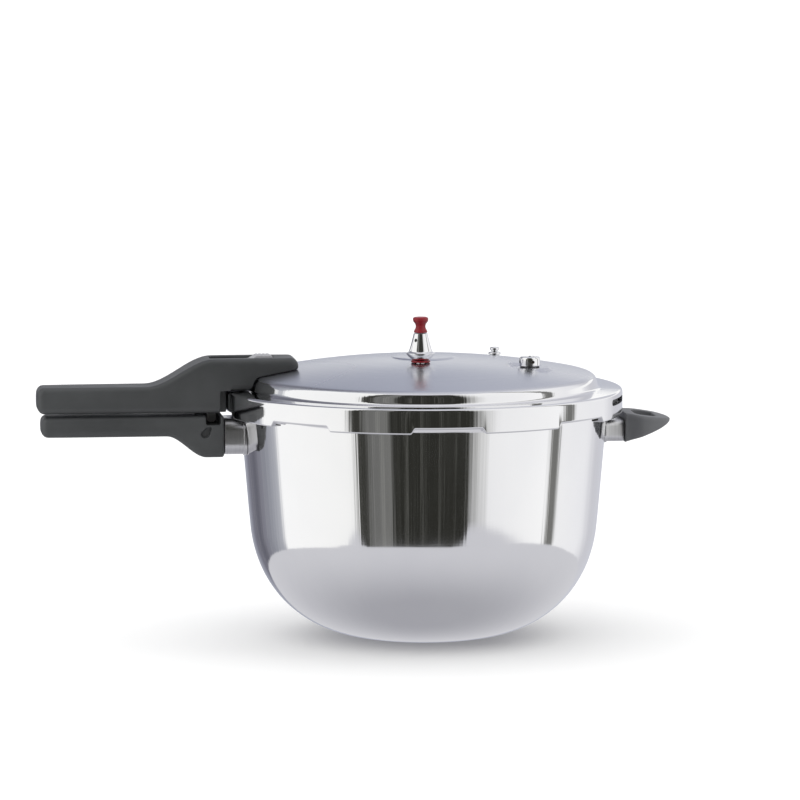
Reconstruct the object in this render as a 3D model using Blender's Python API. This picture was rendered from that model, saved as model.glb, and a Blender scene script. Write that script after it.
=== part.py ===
"""Stovetop pressure cooker with a bayonet lid, modelled as separate parts.

Lengths are in millimetres and go through MM when a mesh is made. The origin is the centre of the
pot's flat base, +Z is up, the long handles point along -X and the helper handle along +X.
Heights along the handles and the rim are given from RIM, the top edge of the lid's skirt.
"""
import math

import bpy
import bmesh
from mathutils import Vector

MM = 0.001
GAP = 0.3                       # clearance kept between pieces that touch
RIM = 184.5                     # height of the lid's outer top edge above the base

# pot
WALL = 2.0
BASE_THICKNESS = 5.0
BASE_RADIUS = 36.0
WALL_TOP_RADIUS = 135.9         # outer wall just under the rim
WALL_LOW_RADIUS = 129.2         # outer wall where the rounded bottom starts
WALL_LOW_Z = RIM - 97.3
BOTTOM_POWER = 2.15             # superellipse of the rounded bottom
BOTTOM_CENTRE_Z = RIM - 89.8
FLANGE_TOP = RIM - 9.8
FLANGE_BOTTOM = RIM - 15.0
FLANGE_INNER = 131.5
FLANGE_RADIUS = 137.0
POT_LUG_RADIUS = 143.5

# bayonet lugs
LUG_COUNT = 8
LUG_PITCH = 360.0 / LUG_COUNT
FIRST_LUG = LUG_PITCH / 2
LID_LUG_HALF = 11.67
LID_LUG_SLOPE = 1.32
POT_LUG_HALF = 8.8
POT_LUG_SLOPE = 1.0

# lid
DOME_RADIUS = 630.0
DOME_TOP = RIM + 22.8
DOME_EDGE = 121.6
LID_WALL = 2.0
EMBLEM_RADIUS = 24.0
EMBLEM_HEIGHT = 0.9
SKIRT_RADIUS = 147.6
SKIRT_WALL = 2.5
SKIRT_GAP_BOTTOM = RIM - 14.8
SKIRT_LUG_BOTTOM = RIM - 18.3
LIP_TOP = RIM - 15.6
LIP_RADIUS = 138.0
WINDOW_ANGLE = math.radians(-19.8)
WINDOW_SIZE = (40.0, 4.7)
WINDOW_BOTTOM = RIM - 8.6

# long handles: distances are measured outward from the pot's axis
GRIP_HALF = 15.5
ROOT_HALF = 19.0
LID_HANDLE_TIP = 287.0
LID_HANDLE_NOSE = 97.0
LID_GRIP_TOP = RIM + 4.3
LID_GRIP_BOTTOM = RIM - 15.4
LID_NOSE_TOP = RIM + 24.4
WEB_IN = 145.0                  # where the lid's handle drops beside the skirt
NEAR_SIDE_IN = 152.7            # its near side stands further out
NEAR_SIDE_Y = -11.0
POT_HANDLE_TIP = 284.0
POT_HANDLE_ROOT = 149.9
POT_GRIP_TOP = RIM - 17.6
POT_GRIP_BOTTOM = RIM - 32.7
POT_ROOT_BOTTOM = RIM - 48.3
POT_TONGUE_Z = RIM - 28.6
POT_SCREW_AT = (-178.0, 0.0)
LID_SCREW_AT = (-179.0, 0.0)
HELPER_SCREW_AT = (153.0, 0.0)

# slider and lock
SLIDER_TRAVEL = 8.0
SLIDER_IN = 113.0
SLIDER_OUT = 141.0
SLIDER_HALF = 8.0
FOOT_IN = 155.0
FOOT_OUT = 161.5
FOOT_HALF = 2.5
FOOT_BOTTOM = RIM - 23.4
BAR_BOTTOM = RIM + 14.5
RECESS_FLOOR = RIM + 19.4
BAY_FLOOR = RIM - 24.2
BAY_IN = 152.6
POCKET_OUT = 170.3

# helper handle
HELPER_ROOT = 148.7
HELPER_TIP = 184.6
HELPER_HALF = 29.0
HELPER_ROOT_TOP = RIM - 19.3
HELPER_TOP_FALL = 4.7
HELPER_ROOT_BOTTOM = RIM - 41.2
HELPER_BOTTOM_RISE = 14.2
HELPER_TONGUE_Z = RIM - 33.0

# valves on the lid
REGULATOR_AT = (-6.5, -34.3)
SAFETY_AT = (75.0, -31.6)
SAFETY_REACH = math.hypot(*SAFETY_AT)
SEAT_LIFT = -0.2                # height of the safety valve's seat over the dome's surface there
FLOAT_AT = (61.0, 55.0)
FLOAT_RISE = 3.5
VALVE_PORT_ANGLES = [math.radians(11.0 + 90.0 * turn) for turn in range(4)]

STEEL_BRIGHT = ("polished_steel", (0.78, 0.78, 0.80), 0.12, 1.0)
STEEL_SATIN = ("satin_steel", (0.66, 0.67, 0.72), 0.32, 1.0)
STEEL_DARK = ("stamped_steel", (0.45, 0.45, 0.47), 0.40, 1.0)
CHROME = ("bright_chrome", (0.85, 0.85, 0.86), 0.06, 1.0)
PLASTIC = ("charcoal_phenolic", (0.050, 0.052, 0.056), 0.50, 0.0)
SILVER = ("silver_plastic", (0.42, 0.42, 0.44), 0.35, 0.0)
RED = ("red_silicone", (0.42, 0.010, 0.022), 0.45, 0.0)
RUBBER = ("grey_rubber", (0.30, 0.30, 0.31), 0.70, 0.0)
BRASS = ("valve_brass", (0.70, 0.52, 0.22), 0.30, 1.0)


def clear_scene():
    for item in list(bpy.data.objects):
        bpy.data.objects.remove(item, do_unlink=True)


def material(spec):
    name, colour, roughness, metallic = spec
    found = bpy.data.materials.get(name)
    if found:
        return found
    made = bpy.data.materials.new(name)
    made.use_nodes = True
    shader = made.node_tree.nodes["Principled BSDF"]
    shader.inputs["Base Color"].default_value = (*colour, 1.0)
    shader.inputs["Roughness"].default_value = roughness
    shader.inputs["Metallic"].default_value = metallic
    return made


def finish(name, bm, spec, origin=(0.0, 0.0, 0.0), smooth_angle=35.0):
    """Turn a bmesh in millimetres into one named object whose origin is at the given point."""
    bmesh.ops.remove_doubles(bm, verts=bm.verts, dist=0.001)
    bmesh.ops.recalc_face_normals(bm, faces=bm.faces)
    for vert in bm.verts:
        vert.co = (vert.co - Vector(origin)) * MM
    mesh = bpy.data.meshes.new(name)
    bm.to_mesh(mesh)
    bm.free()
    mesh.shade_smooth()
    mesh.set_sharp_from_angle(angle=math.radians(smooth_angle))
    item = bpy.data.objects.new(name, mesh)
    item.location = Vector(origin) * MM
    bpy.context.collection.objects.link(item)
    if spec:
        mesh.materials.append(material(spec))
    return item


def guide(item):
    """Mark an object as a tool for a Boolean, not a piece of the cooker."""
    item.hide_render = True
    item.display_type = "WIRE"
    return item


def combine(item, tool, operation="DIFFERENCE"):
    change = item.modifiers.new(tool.name, "BOOLEAN")
    change.operation = operation
    change.object = guide(tool)
    change.solver = "EXACT"


def loft(rings, bm=None):
    """Join closed rings of equal length, with a flat cap on the first and the last."""
    bm = bm or bmesh.new()
    made = [[bm.verts.new(point) for point in ring] for ring in rings]
    count = len(made[0])
    for one, two in zip(made, made[1:]):
        for i in range(count):
            bm.faces.new((one[i], one[(i + 1) % count], two[(i + 1) % count], two[i]))
    bm.faces.new(made[0])
    bm.faces.new(made[-1])
    return bm


def revolve(section_at, angles, centre=(0.0, 0.0), closed=True):
    """Sweep a section of (radius, z) points round a vertical axis; a full turn unless closed is off."""
    bm = bmesh.new()
    poles = {}
    columns = []
    for angle in angles:
        column = []
        for index, (radius, z) in enumerate(section_at(angle)):
            point = (centre[0] + radius * math.cos(angle), centre[1] + radius * math.sin(angle), z)
            if radius < 1e-6:
                if index not in poles:
                    poles[index] = bm.verts.new(point)
                column.append(poles[index])
            else:
                column.append(bm.verts.new(point))
        columns.append(column)
    pairs = list(zip(columns, columns[1:]))
    if closed:
        pairs.append((columns[-1], columns[0]))
    count = len(columns[0])
    for one, two in pairs:
        for i in range(count):
            corners = []
            for vert in (one[i], one[(i + 1) % count], two[(i + 1) % count], two[i]):
                if vert not in corners:
                    corners.append(vert)
            if len(corners) > 2:
                bm.faces.new(corners)
    if not closed:
        bm.faces.new(columns[0])
        bm.faces.new(columns[-1])
    return bm


def even_angles(count):
    return [2 * math.pi * i / count for i in range(count)]


def turned(name, profile, at, spec, segments=16, origin=None):
    bm = revolve(lambda angle: profile, even_angles(segments), at)
    return finish(name, bm, spec, origin or (0.0, 0.0, 0.0))


def hex_nut(name, at, shank, corner, low, high):
    """A six-sided nut whose bore clears a round shank."""
    bore = (shank + GAP) / math.cos(math.pi / 6)
    return turned(name, [(bore, low), (corner, low), (corner, high), (bore, high)], at, STEEL_DARK, 6)


def box_mesh(low, high, bm=None):
    ring = [(low[0], low[1]), (high[0], low[1]), (high[0], high[1]), (low[0], high[1])]
    return loft([[Vector((x, y, z)) for x, y in ring] for z in (low[2], high[2])], bm)


def box(name, low, high, spec=None, origin=(0.0, 0.0, 0.0)):
    return finish(name, box_mesh(low, high), spec, origin)


def rounded_ring(u, bottom, top, half, radius, side=-1, steps=3):
    """A rounded rectangle across a handle, at distance u along side (-1 is -X)."""
    radius = min(radius, half * 0.98, (top - bottom) * 0.49)
    points = []
    corners = ((half, top, 0.0), (-half, top, 90.0), (-half, bottom, 180.0), (half, bottom, 270.0))
    for y, z, start in corners:
        cy = y - math.copysign(radius, y)
        cz = top - radius if z == top else bottom + radius
        for i in range(steps + 1):
            angle = math.radians(start + 90.0 * i / steps)
            points.append(Vector((side * u, cy + radius * math.cos(angle), cz + radius * math.sin(angle))))
    return points


def ease(t):
    """A smooth step from 0 to 1."""
    t = min(max(t, 0.0), 1.0)
    return t * t * (3 - 2 * t)


# ---- pot -----------------------------------------------------------------------------------

def bayonet_angles(half, slope, between):
    """Angles round the rim with columns at each end of every lug's slopes and one more between."""
    steps = (half / 3, half, half + slope, between)
    offsets = sorted([sign * step for step in steps for sign in (-1, 1)])
    offsets.append(LUG_PITCH / 2)
    centres = [FIRST_LUG + lug * LUG_PITCH for lug in range(LUG_COUNT)]
    return [math.radians(centre + offset) for centre in centres for offset in offsets]


def on_lug(angle, half, slope):
    """1 on a lug, 0 between lugs, and in between on the slopes."""
    offset = (math.degrees(angle) - FIRST_LUG + LUG_PITCH / 2) % LUG_PITCH - LUG_PITCH / 2
    return min(max((half + slope - abs(offset)) / slope, 0.0), 1.0)


def wall_radius(z):
    """The pot's outer radius at a height above the rounded bottom."""
    share = (z - WALL_LOW_Z) / (RIM - 20.0 - WALL_LOW_Z)
    return WALL_LOW_RADIUS + (WALL_TOP_RADIUS - WALL_LOW_RADIUS) * share


def bottom_curve(grow, steps):
    """The rounded bottom from the wall to the base disc, offset inward by grow."""
    across = WALL_LOW_RADIUS - BASE_RADIUS
    drop = BOTTOM_CENTRE_Z
    points = []
    for i in range(steps + 1):
        angle = math.radians(6.0 + 84.0 * i / steps)
        radius = BASE_RADIUS + across * math.cos(angle) ** (2 / BOTTOM_POWER)
        z = BOTTOM_CENTRE_Z - drop * math.sin(angle) ** (2 / BOTTOM_POWER)
        rise = BASE_THICKNESS - WALL
        lift = (WALL + rise * ease(i / steps)) * math.sin(angle) if grow else 0.0
        points.append((radius - grow * math.cos(angle), z + lift))
    return points


def pot_section(angle):
    lug = on_lug(angle, POT_LUG_HALF, POT_LUG_SLOPE)
    flange = FLANGE_RADIUS + (POT_LUG_RADIUS - FLANGE_RADIUS) * lug
    outside = [(FLANGE_INNER, FLANGE_TOP), (flange - 0.8, FLANGE_TOP), (flange, FLANGE_TOP - 0.8),
               (flange, FLANGE_BOTTOM + 0.5), (flange - 0.5, FLANGE_BOTTOM),
               (wall_radius(FLANGE_BOTTOM), FLANGE_BOTTOM)]
    base = [(0.0, 0.0), (0.0, BASE_THICKNESS)]
    return outside + bottom_curve(0.0, 8) + base + bottom_curve(WALL, 6)[::-1]


def pot_body():
    angles = bayonet_angles(POT_LUG_HALF, POT_LUG_SLOPE, (POT_LUG_HALF + POT_LUG_SLOPE + LUG_PITCH / 2) / 2)
    return finish("pot_body", revolve(pot_section, angles), STEEL_BRIGHT)


def mounting_bracket(name, side, plate_half, low, high, tongue_out, tongue_half, tongue_z):
    """A curved plate spot-welded to the wall, with a flat tongue that the handle slides over."""
    middle = math.pi if side < 0 else 0.0
    spread = math.asin(plate_half / WALL_LOW_RADIUS)
    angles = [middle + spread * (2 * i / 4 - 1) for i in range(5)]
    section = [(wall_radius(low) + GAP, low), (wall_radius(low) + GAP + 1.6, low),
               (wall_radius(high) + GAP + 1.6, high), (wall_radius(high) + GAP, high)]
    plate = finish(name, revolve(lambda angle: section, angles, closed=False), STEEL_DARK)
    start = wall_radius(tongue_z) + GAP + 0.9
    ends = sorted((side * start, side * tongue_out))
    tongue = box(name + "_tongue", (ends[0], -tongue_half, tongue_z - 1.3),
                 (ends[1], tongue_half, tongue_z + 1.3))
    combine(plate, tongue, "UNION")
    return plate


def sleeve(start, end, side, half, low, high, inset):
    """A straight tube outline with well-rounded corners, drawn in by inset."""
    corner = 0.33 * (high - low) - inset
    bottom, top = low + inset, high - inset
    return loft([rounded_ring(u, bottom, top, half - inset, corner, side) for u in (start, end)])


def flame_guard(name, side, outer, half, low, high):
    """A pressed steel sleeve between the wall and the handle, open at both ends."""
    wall = 1.2
    start = WALL_LOW_RADIUS - 3.2
    item = finish(name, sleeve(start, outer, side, half, low, high, 0.0), STEEL_BRIGHT)
    bore = sleeve(start - 6.0, outer + 6.0, side, half, low, high, wall)
    combine(item, finish(name + "_bore", bore, None))
    combine(item, pot_shadow(name + "_wall", side))
    return item


def pot_shadow(name, side):
    """The solid of the pot near a handle, grown by the gap."""
    low = RIM - 70.0
    high = RIM - 10.0
    section = [(0.0, low), (wall_radius(low) + GAP, low), (wall_radius(high) + GAP, high), (0.0, high)]
    angles = [(math.pi if side < 0 else 0.0) + math.radians(5.0 * i) for i in range(-36, 36)]
    return finish(name, revolve(lambda angle: section, angles), None)


def drilled(item, name, centre, radius, low, high, segments=12):
    profile = [(0.0, low), (radius, low), (radius, high), (0.0, high)]
    combine(item, turned(name, profile, centre, None, segments))


def pot_handle():
    stations = [(POT_HANDLE_ROOT, POT_ROOT_BOTTOM + 1.5, POT_GRIP_TOP - 1.0, ROOT_HALF - 1.0),
                (POT_HANDLE_ROOT + 1.5, POT_ROOT_BOTTOM, POT_GRIP_TOP, ROOT_HALF),
                (163.0, POT_ROOT_BOTTOM, POT_GRIP_TOP, ROOT_HALF)]
    for i in range(1, 6):
        t = i / 5
        bottom = POT_ROOT_BOTTOM + (POT_GRIP_BOTTOM - POT_ROOT_BOTTOM) * ease(t)
        half = ROOT_HALF + (GRIP_HALF + 1.0 - ROOT_HALF) * ease(t)
        stations.append((163.0 + 29.0 * t, bottom, POT_GRIP_TOP, half))
    stations += [(POT_HANDLE_TIP - 20.0, POT_GRIP_BOTTOM, POT_GRIP_TOP, GRIP_HALF),
                 (POT_HANDLE_TIP - 4.0, POT_GRIP_BOTTOM + 0.3, POT_GRIP_TOP - 0.3, GRIP_HALF - 1.0),
                 (POT_HANDLE_TIP - 1.0, POT_GRIP_BOTTOM + 1.6, POT_GRIP_TOP - 1.6, GRIP_HALF - 3.2),
                 (POT_HANDLE_TIP, POT_GRIP_BOTTOM + 3.6, POT_GRIP_TOP - 3.6, GRIP_HALF - 5.5)]
    rings = [rounded_ring(u, low, high, half, 4.0) for u, low, high, half in stations]
    item = finish("pot_handle", loft(rings), PLASTIC)
    bay = box_mesh((-163.3, -30.0, BAY_FLOOR), (-BAY_IN, FOOT_HALF + 0.8, RIM))
    combine(item, finish("pot_handle_bay", bay, None))
    pocket = box_mesh((-POCKET_OUT, -FOOT_HALF - 0.8, BAY_FLOOR + 0.002), (-160.0, FOOT_HALF + 0.81, RIM))
    combine(item, finish("pot_handle_pocket", pocket, None))
    relief = [(159.0, BAY_FLOOR - 1.6), (163.0, BAY_FLOOR - 1.4), (167.5, BAY_FLOOR - 6.5),
              (165.5, BAY_FLOOR - 9.5), (161.5, BAY_FLOOR - 8.8)]
    rings = [[Vector((-u, y, z)) for u, z in relief] for y in (-ROOT_HALF - 5.0, -ROOT_HALF + 4.0)]
    combine(item, finish("pot_handle_side_relief", loft(rings), None))
    tongue = box_mesh((-188.5, -9.4, POT_TONGUE_Z - 1.6), (-140.0, 9.4, POT_TONGUE_Z + 1.6))
    combine(item, finish("pot_handle_tongue_slot", tongue, None))
    drilled(item, "pot_handle_screw_bore", POT_SCREW_AT, 2.4, RIM - 60.0, POT_TONGUE_Z + 3.9)
    drilled(item, "pot_handle_screw_head_bore", POT_SCREW_AT, 4.6, RIM - 60.0, POT_TONGUE_Z - 6.0)
    return item


def screw(name, at, head_bottom, head_top, tip, head_radius=4.2, shank=2.0):
    """A pan-head screw that points up, with a blind driver recess in its head."""
    recess = head_bottom + 1.2
    profile = [(0.0, recess), (1.5, recess), (1.5, head_bottom), (head_radius - 0.8, head_bottom),
               (head_radius, head_bottom + 0.8), (head_radius, head_top), (shank, head_top),
               (shank, tip - 0.8), (shank - 0.8, tip), (0.0, tip)]
    return turned(name, profile, at, STEEL_DARK, 12)


def helper_half(t):
    """Half width of the helper handle from its root (t = 0) to its tip (t = 1)."""
    if t < 0.35:
        return 21.0 + (HELPER_HALF - 21.0) * ease(t / 0.35)
    return HELPER_HALF * math.sqrt(max(1.0 - ((t - 0.35) / 0.655) ** 2.4, 0.0))


def helper_heights(t):
    """Bottom and top of the helper handle's wedge, drawn together over its rounded tip."""
    top = HELPER_ROOT_TOP - HELPER_TOP_FALL * t
    bottom = HELPER_ROOT_BOTTOM + HELPER_BOTTOM_RISE * t
    past = max((t - 0.72) / 0.28, 0.0)
    shrink = 0.5 + 0.5 * math.sqrt(max(1.0 - past ** 2, 0.0))
    middle = (top + bottom) / 2
    half = (top - bottom) / 2 * shrink
    return middle - half, middle + half


def helper_handle():
    length = HELPER_TIP - HELPER_ROOT
    rings = []
    for t in (0.0, 0.05, 0.18, 0.35, 0.5, 0.65, 0.78, 0.88, 0.95, 1.0):
        bottom, top = helper_heights(t)
        pinch = 1.2 if t == 0.0 else 0.0
        u = HELPER_ROOT + length * t
        rings.append(rounded_ring(u, bottom + pinch, top - pinch, helper_half(t) - pinch, 3.0, 1, 2))
    item = finish("helper_handle", loft(rings), PLASTIC)
    corners = [(157.5, -12.5), (157.5, 12.5), (160.5, 16.5), (166.5, 16.5), (171.5, 11.5),
               (173.0, 5.5), (173.0, -5.5), (171.5, -11.5), (166.5, -16.5), (160.5, -16.5)]
    slot = loft([[Vector((x, y, z)) for x, y in corners] for z in (RIM - 60.0, RIM)])
    combine(item, finish("helper_handle_finger_slot", slot, None))
    bore = box_mesh((140.0, -6.2, RIM - 34.6), (156.6, 6.2, RIM - 31.4))
    combine(item, finish("helper_handle_tongue_slot", bore, None))
    drilled(item, "helper_handle_screw_bore", HELPER_SCREW_AT, 1.9, RIM - 60.0, RIM - 28.0)
    drilled(item, "helper_handle_screw_head_bore", HELPER_SCREW_AT, 3.4, RIM - 60.0, RIM - 37.4)
    return item


def pot_parts():
    pot_body()
    bracket = mounting_bracket("pot_handle_bracket", -1, 14.0, RIM - 43.0, RIM - 24.0,
                               187.5, 9.0, POT_TONGUE_Z)
    drilled(bracket, "pot_handle_bracket_hole", POT_SCREW_AT, 2.4, RIM - 40.0, RIM - 20.0)
    flame_guard("pot_handle_flame_guard", -1, POT_HANDLE_ROOT - GAP, 18.5, RIM - 46.8, RIM - 19.9)
    pot_handle()
    screw("pot_handle_screw", POT_SCREW_AT, POT_TONGUE_Z - 9.4, POT_TONGUE_Z - 6.3, POT_TONGUE_Z + 3.4)
    bracket = mounting_bracket("helper_handle_bracket", 1, 12.0, RIM - 38.5, RIM - 27.5,
                               156.2, 5.8, HELPER_TONGUE_Z)
    drilled(bracket, "helper_handle_bracket_hole", HELPER_SCREW_AT, 1.9, RIM - 40.0, RIM - 30.0)
    flame_guard("helper_handle_flame_guard", 1, HELPER_ROOT - GAP, 17.0, RIM - 41.0, RIM - 25.0)
    helper_handle()
    screw("helper_handle_screw", HELPER_SCREW_AT, RIM - 40.4, RIM - 37.7, RIM - 29.0, 3.0, 1.5)


# ---- lid -----------------------------------------------------------------------------------

def dome_z(radius):
    return DOME_TOP - DOME_RADIUS + math.sqrt(DOME_RADIUS ** 2 - radius ** 2)


def dome_points(radii, drop):
    return [(radius, dome_z(radius) - drop) for radius in radii]


def lid_section(angle):
    lug = on_lug(angle, LID_LUG_HALF, LID_LUG_SLOPE)
    bottom = SKIRT_GAP_BOTTOM + (SKIRT_LUG_BOTTOM - SKIRT_GAP_BOTTOM) * lug
    inner = SKIRT_RADIUS - SKIRT_WALL
    turn_in = max(2 * lug - 1, 0.0)
    lip = inner - 0.6 + (LIP_RADIUS - inner + 0.6) * turn_in
    lip_top = SKIRT_GAP_BOTTOM + 1.2 + (LIP_TOP - SKIRT_GAP_BOTTOM - 1.2) * min(2 * lug, 1.0)
    edge = EMBLEM_RADIUS
    top = [(0.0, DOME_TOP + EMBLEM_HEIGHT), (edge - 1.6, dome_z(edge - 1.6) + EMBLEM_HEIGHT)]
    top += dome_points((edge, 55.0, 90.0, DOME_EDGE - 5.0, DOME_EDGE), 0.0)
    riser = [(126.4, RIM + 9.4), (128.4, RIM + 6.9), (129.8, RIM + 2.6), (132.0, RIM + 0.7),
             (135.4, RIM + 0.3)]
    skirt = [(SKIRT_RADIUS - 2.6, RIM), (SKIRT_RADIUS - 0.8, RIM - 0.9), (SKIRT_RADIUS, RIM - 2.8),
             (SKIRT_RADIUS, bottom + 1.2), (SKIRT_RADIUS - 1.0, bottom)]
    inside = [(lip, bottom), (lip, lip_top), (inner, lip_top + 0.02), (inner, RIM - 3.2),
              (inner - 1.2, RIM - 2.0), (134.6, RIM - 1.7), (130.6, RIM - 1.2), (127.8, RIM + 1.8),
              (126.4, RIM + 6.2), (124.8, RIM + 8.0)]
    under = dome_points((DOME_EDGE - 2.0, 90.0, 55.0, edge - 1.0), LID_WALL)
    raised = EMBLEM_HEIGHT - LID_WALL
    under += [(edge - 2.6, dome_z(edge) + raised), (0.0, DOME_TOP + raised)]
    return top + riser + skirt + inside + under


def safety_seat(item):
    """Press a flat round seat into the dome for the safety valve."""
    top = dome_z(SAFETY_REACH) + SEAT_LIFT
    low = dome_z(SAFETY_REACH) - 4.2
    pad = [(0.0, low), (15.5, low), (16.2, top - 0.8), (15.6, top), (0.0, top)]
    combine(item, turned("lid_seat_pad", pad, SAFETY_AT, None, 24), "UNION")
    clear = [(0.0, top), (15.6, top), (17.0, top + 4.0), (0.0, top + 4.0)]
    combine(item, turned("lid_seat_face", clear, SAFETY_AT, None, 24))


def lid():
    angles = bayonet_angles(LID_LUG_HALF, LID_LUG_SLOPE, LID_LUG_HALF + LID_LUG_SLOPE / 2)
    item = finish("lid", revolve(lid_section, angles), STEEL_SATIN)
    safety_seat(item)
    drilled(item, "lid_vent_hole", REGULATOR_AT, 3.9, RIM, RIM + 40.0)
    drilled(item, "lid_safety_hole", SAFETY_AT, 5.4, RIM, RIM + 40.0)
    drilled(item, "lid_float_hole", FLOAT_AT, 4.0, RIM, RIM + 40.0)
    middle = SKIRT_RADIUS - 1.2
    along = Vector((-math.sin(WINDOW_ANGLE), math.cos(WINDOW_ANGLE), 0.0)) * WINDOW_SIZE[0] / 2
    out = Vector((math.cos(WINDOW_ANGLE), math.sin(WINDOW_ANGLE), 0.0))
    rings = []
    for z in (WINDOW_BOTTOM, WINDOW_BOTTOM + WINDOW_SIZE[1]):
        up = Vector((0.0, 0.0, z))
        rings.append([out * (middle - 4) - along + up, out * (middle + 6) - along + up,
                      out * (middle + 6) + along + up, out * (middle - 4) + along + up])
    combine(item, finish("lid_window", loft(rings), None))
    return item


def sealing_gasket():
    profile = [(132.5, RIM - 9.5), (132.0, RIM - 6.0), (136.0, RIM - 4.5), (136.0, RIM - 2.4),
               (143.4, RIM - 2.7), (144.4, RIM - 4.0), (144.4, RIM - 8.6), (143.4, RIM - 9.5)]
    return finish("sealing_gasket", revolve(lambda angle: profile, even_angles(48)), RUBBER)


def lid_handle_stations():
    """(distance, bottom, top, half width) from the nose to the tip of the lid's handle."""
    nose = LID_HANDLE_NOSE
    low = RIM + 0.9
    stations = [(nose - 2.6, RIM + 15.9, LID_NOSE_TOP - 6.0, 13.0),
                (nose - 1.2, RIM + 14.8, LID_NOSE_TOP - 3.8, 15.0),
                (nose + 1.3, RIM + 13.5, LID_NOSE_TOP - 1.0, 16.6),
                (nose + 3.2, RIM + 12.0, LID_NOSE_TOP - 0.1, 17.2),
                (nose + 14.0, RIM + 6.5, LID_NOSE_TOP, 18.0),
                (nose + 29.0, low, LID_NOSE_TOP, ROOT_HALF),
                (WEB_IN, low, LID_NOSE_TOP, ROOT_HALF),
                (WEB_IN + 0.02, LID_GRIP_BOTTOM, LID_NOSE_TOP, ROOT_HALF),
                (159.0, LID_GRIP_BOTTOM, LID_NOSE_TOP - 0.2, ROOT_HALF)]
    for i in range(1, 8):
        t = i / 7
        top = LID_NOSE_TOP - 0.2 + (LID_GRIP_TOP - LID_NOSE_TOP + 0.2) * ease(t)
        half = ROOT_HALF + (GRIP_HALF + 1.0 - ROOT_HALF) * ease(t)
        stations.append((159.0 + 47.0 * t, LID_GRIP_BOTTOM, top, half))
    tip = LID_HANDLE_TIP
    stations += [(tip - 20.0, LID_GRIP_BOTTOM, LID_GRIP_TOP, GRIP_HALF),
                 (tip - 4.5, LID_GRIP_BOTTOM + 0.4, LID_GRIP_TOP - 0.4, GRIP_HALF - 1.0),
                 (tip - 1.2, LID_GRIP_BOTTOM + 2.0, LID_GRIP_TOP - 2.0, GRIP_HALF - 3.4),
                 (tip, LID_GRIP_BOTTOM + 4.4, LID_GRIP_TOP - 4.4, GRIP_HALF - 6.0)]
    return stations


def lid_shadow(name, grow):
    """The lid's outer surface grown by a gap, as a tool that trims what stands on it."""
    low = LID_GRIP_BOTTOM - 5.0
    section = [(0.0, low), (SKIRT_RADIUS + grow, low), (SKIRT_RADIUS + grow, RIM + 0.3 + grow),
               (135.4 + grow, RIM + 0.3 + grow), (132.2 + grow, RIM + 0.9 + grow),
               (130.0 + grow, RIM + 2.8 + grow), (128.6 + grow, RIM + 7.1 + grow),
               (126.6 + grow, RIM + 9.6 + grow)]
    section += [(radius, z + grow) for radius, z in dome_points((DOME_EDGE, 90.0, 55.0), 0.0)]
    section += [(0.0, RIM + 20.5)]
    return finish(name, revolve(lambda angle: section, even_angles(72)), None)


def lid_handle_shell():
    rings = [rounded_ring(u, low, high, half, 4.5) for u, low, high, half in lid_handle_stations()]
    item = finish("lid_handle_shell", loft(rings), PLASTIC)
    combine(item, lid_shadow("lid_handle_trim", 0.45))
    recess_end = SLIDER_OUT + SLIDER_TRAVEL + 10.5
    slot_out = FOOT_OUT + SLIDER_TRAVEL + 0.7
    cuts = {"recess": ((-recess_end, -SLIDER_HALF - 0.4, RECESS_FLOOR),
                       (-SLIDER_IN + 0.7, SLIDER_HALF + 0.4, RIM + 60.0)),
            "channel": ((-slot_out, -FOOT_HALF - 0.6, BAR_BOTTOM - 0.5),
                        (-SLIDER_IN - 5.0, FOOT_HALF + 0.6, RECESS_FLOOR + 0.5)),
            "foot_slot": ((-slot_out - 0.01, -FOOT_HALF - 0.61, RIM - 40.0),
                          (-FOOT_IN + 0.6, FOOT_HALF + 0.61, BAR_BOTTOM)),
            "bracket_slot": ((-186.5, -10.9, RIM + 0.2), (-135.0, 10.9, RIM + 4.0)),
            "near_side": ((-NEAR_SIDE_IN, -ROOT_HALF - 5.0, LID_GRIP_BOTTOM - 5.0),
                          (-WEB_IN + 5.0, NEAR_SIDE_Y, RIM + 1.0))}
    for name, (low, high) in cuts.items():
        combine(item, box("lid_handle_" + name, low, high))
    drilled(item, "lid_handle_screw_bore", LID_SCREW_AT, 2.4, RIM - 60.0, RIM + 8.0)
    drilled(item, "lid_handle_screw_head_bore", LID_SCREW_AT, 4.6, RIM - 60.0, RIM - 7.4)
    return item


def lid_handle_bracket():
    """A steel strap welded on the lid's flange that runs out into the handle."""
    item = box("lid_handle_bracket", (-186.0, -10.4, RIM + 0.9), (-136.4, 10.4, RIM + 3.6), STEEL_DARK)
    combine(item, box("lid_handle_bracket_slot", (-171.0, -3.6, RIM - 5.0), (-153.6, 3.6, RIM + 10.0)))
    drilled(item, "lid_handle_bracket_hole", LID_SCREW_AT, 2.4, RIM - 5.0, RIM + 10.0)
    return item


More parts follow.
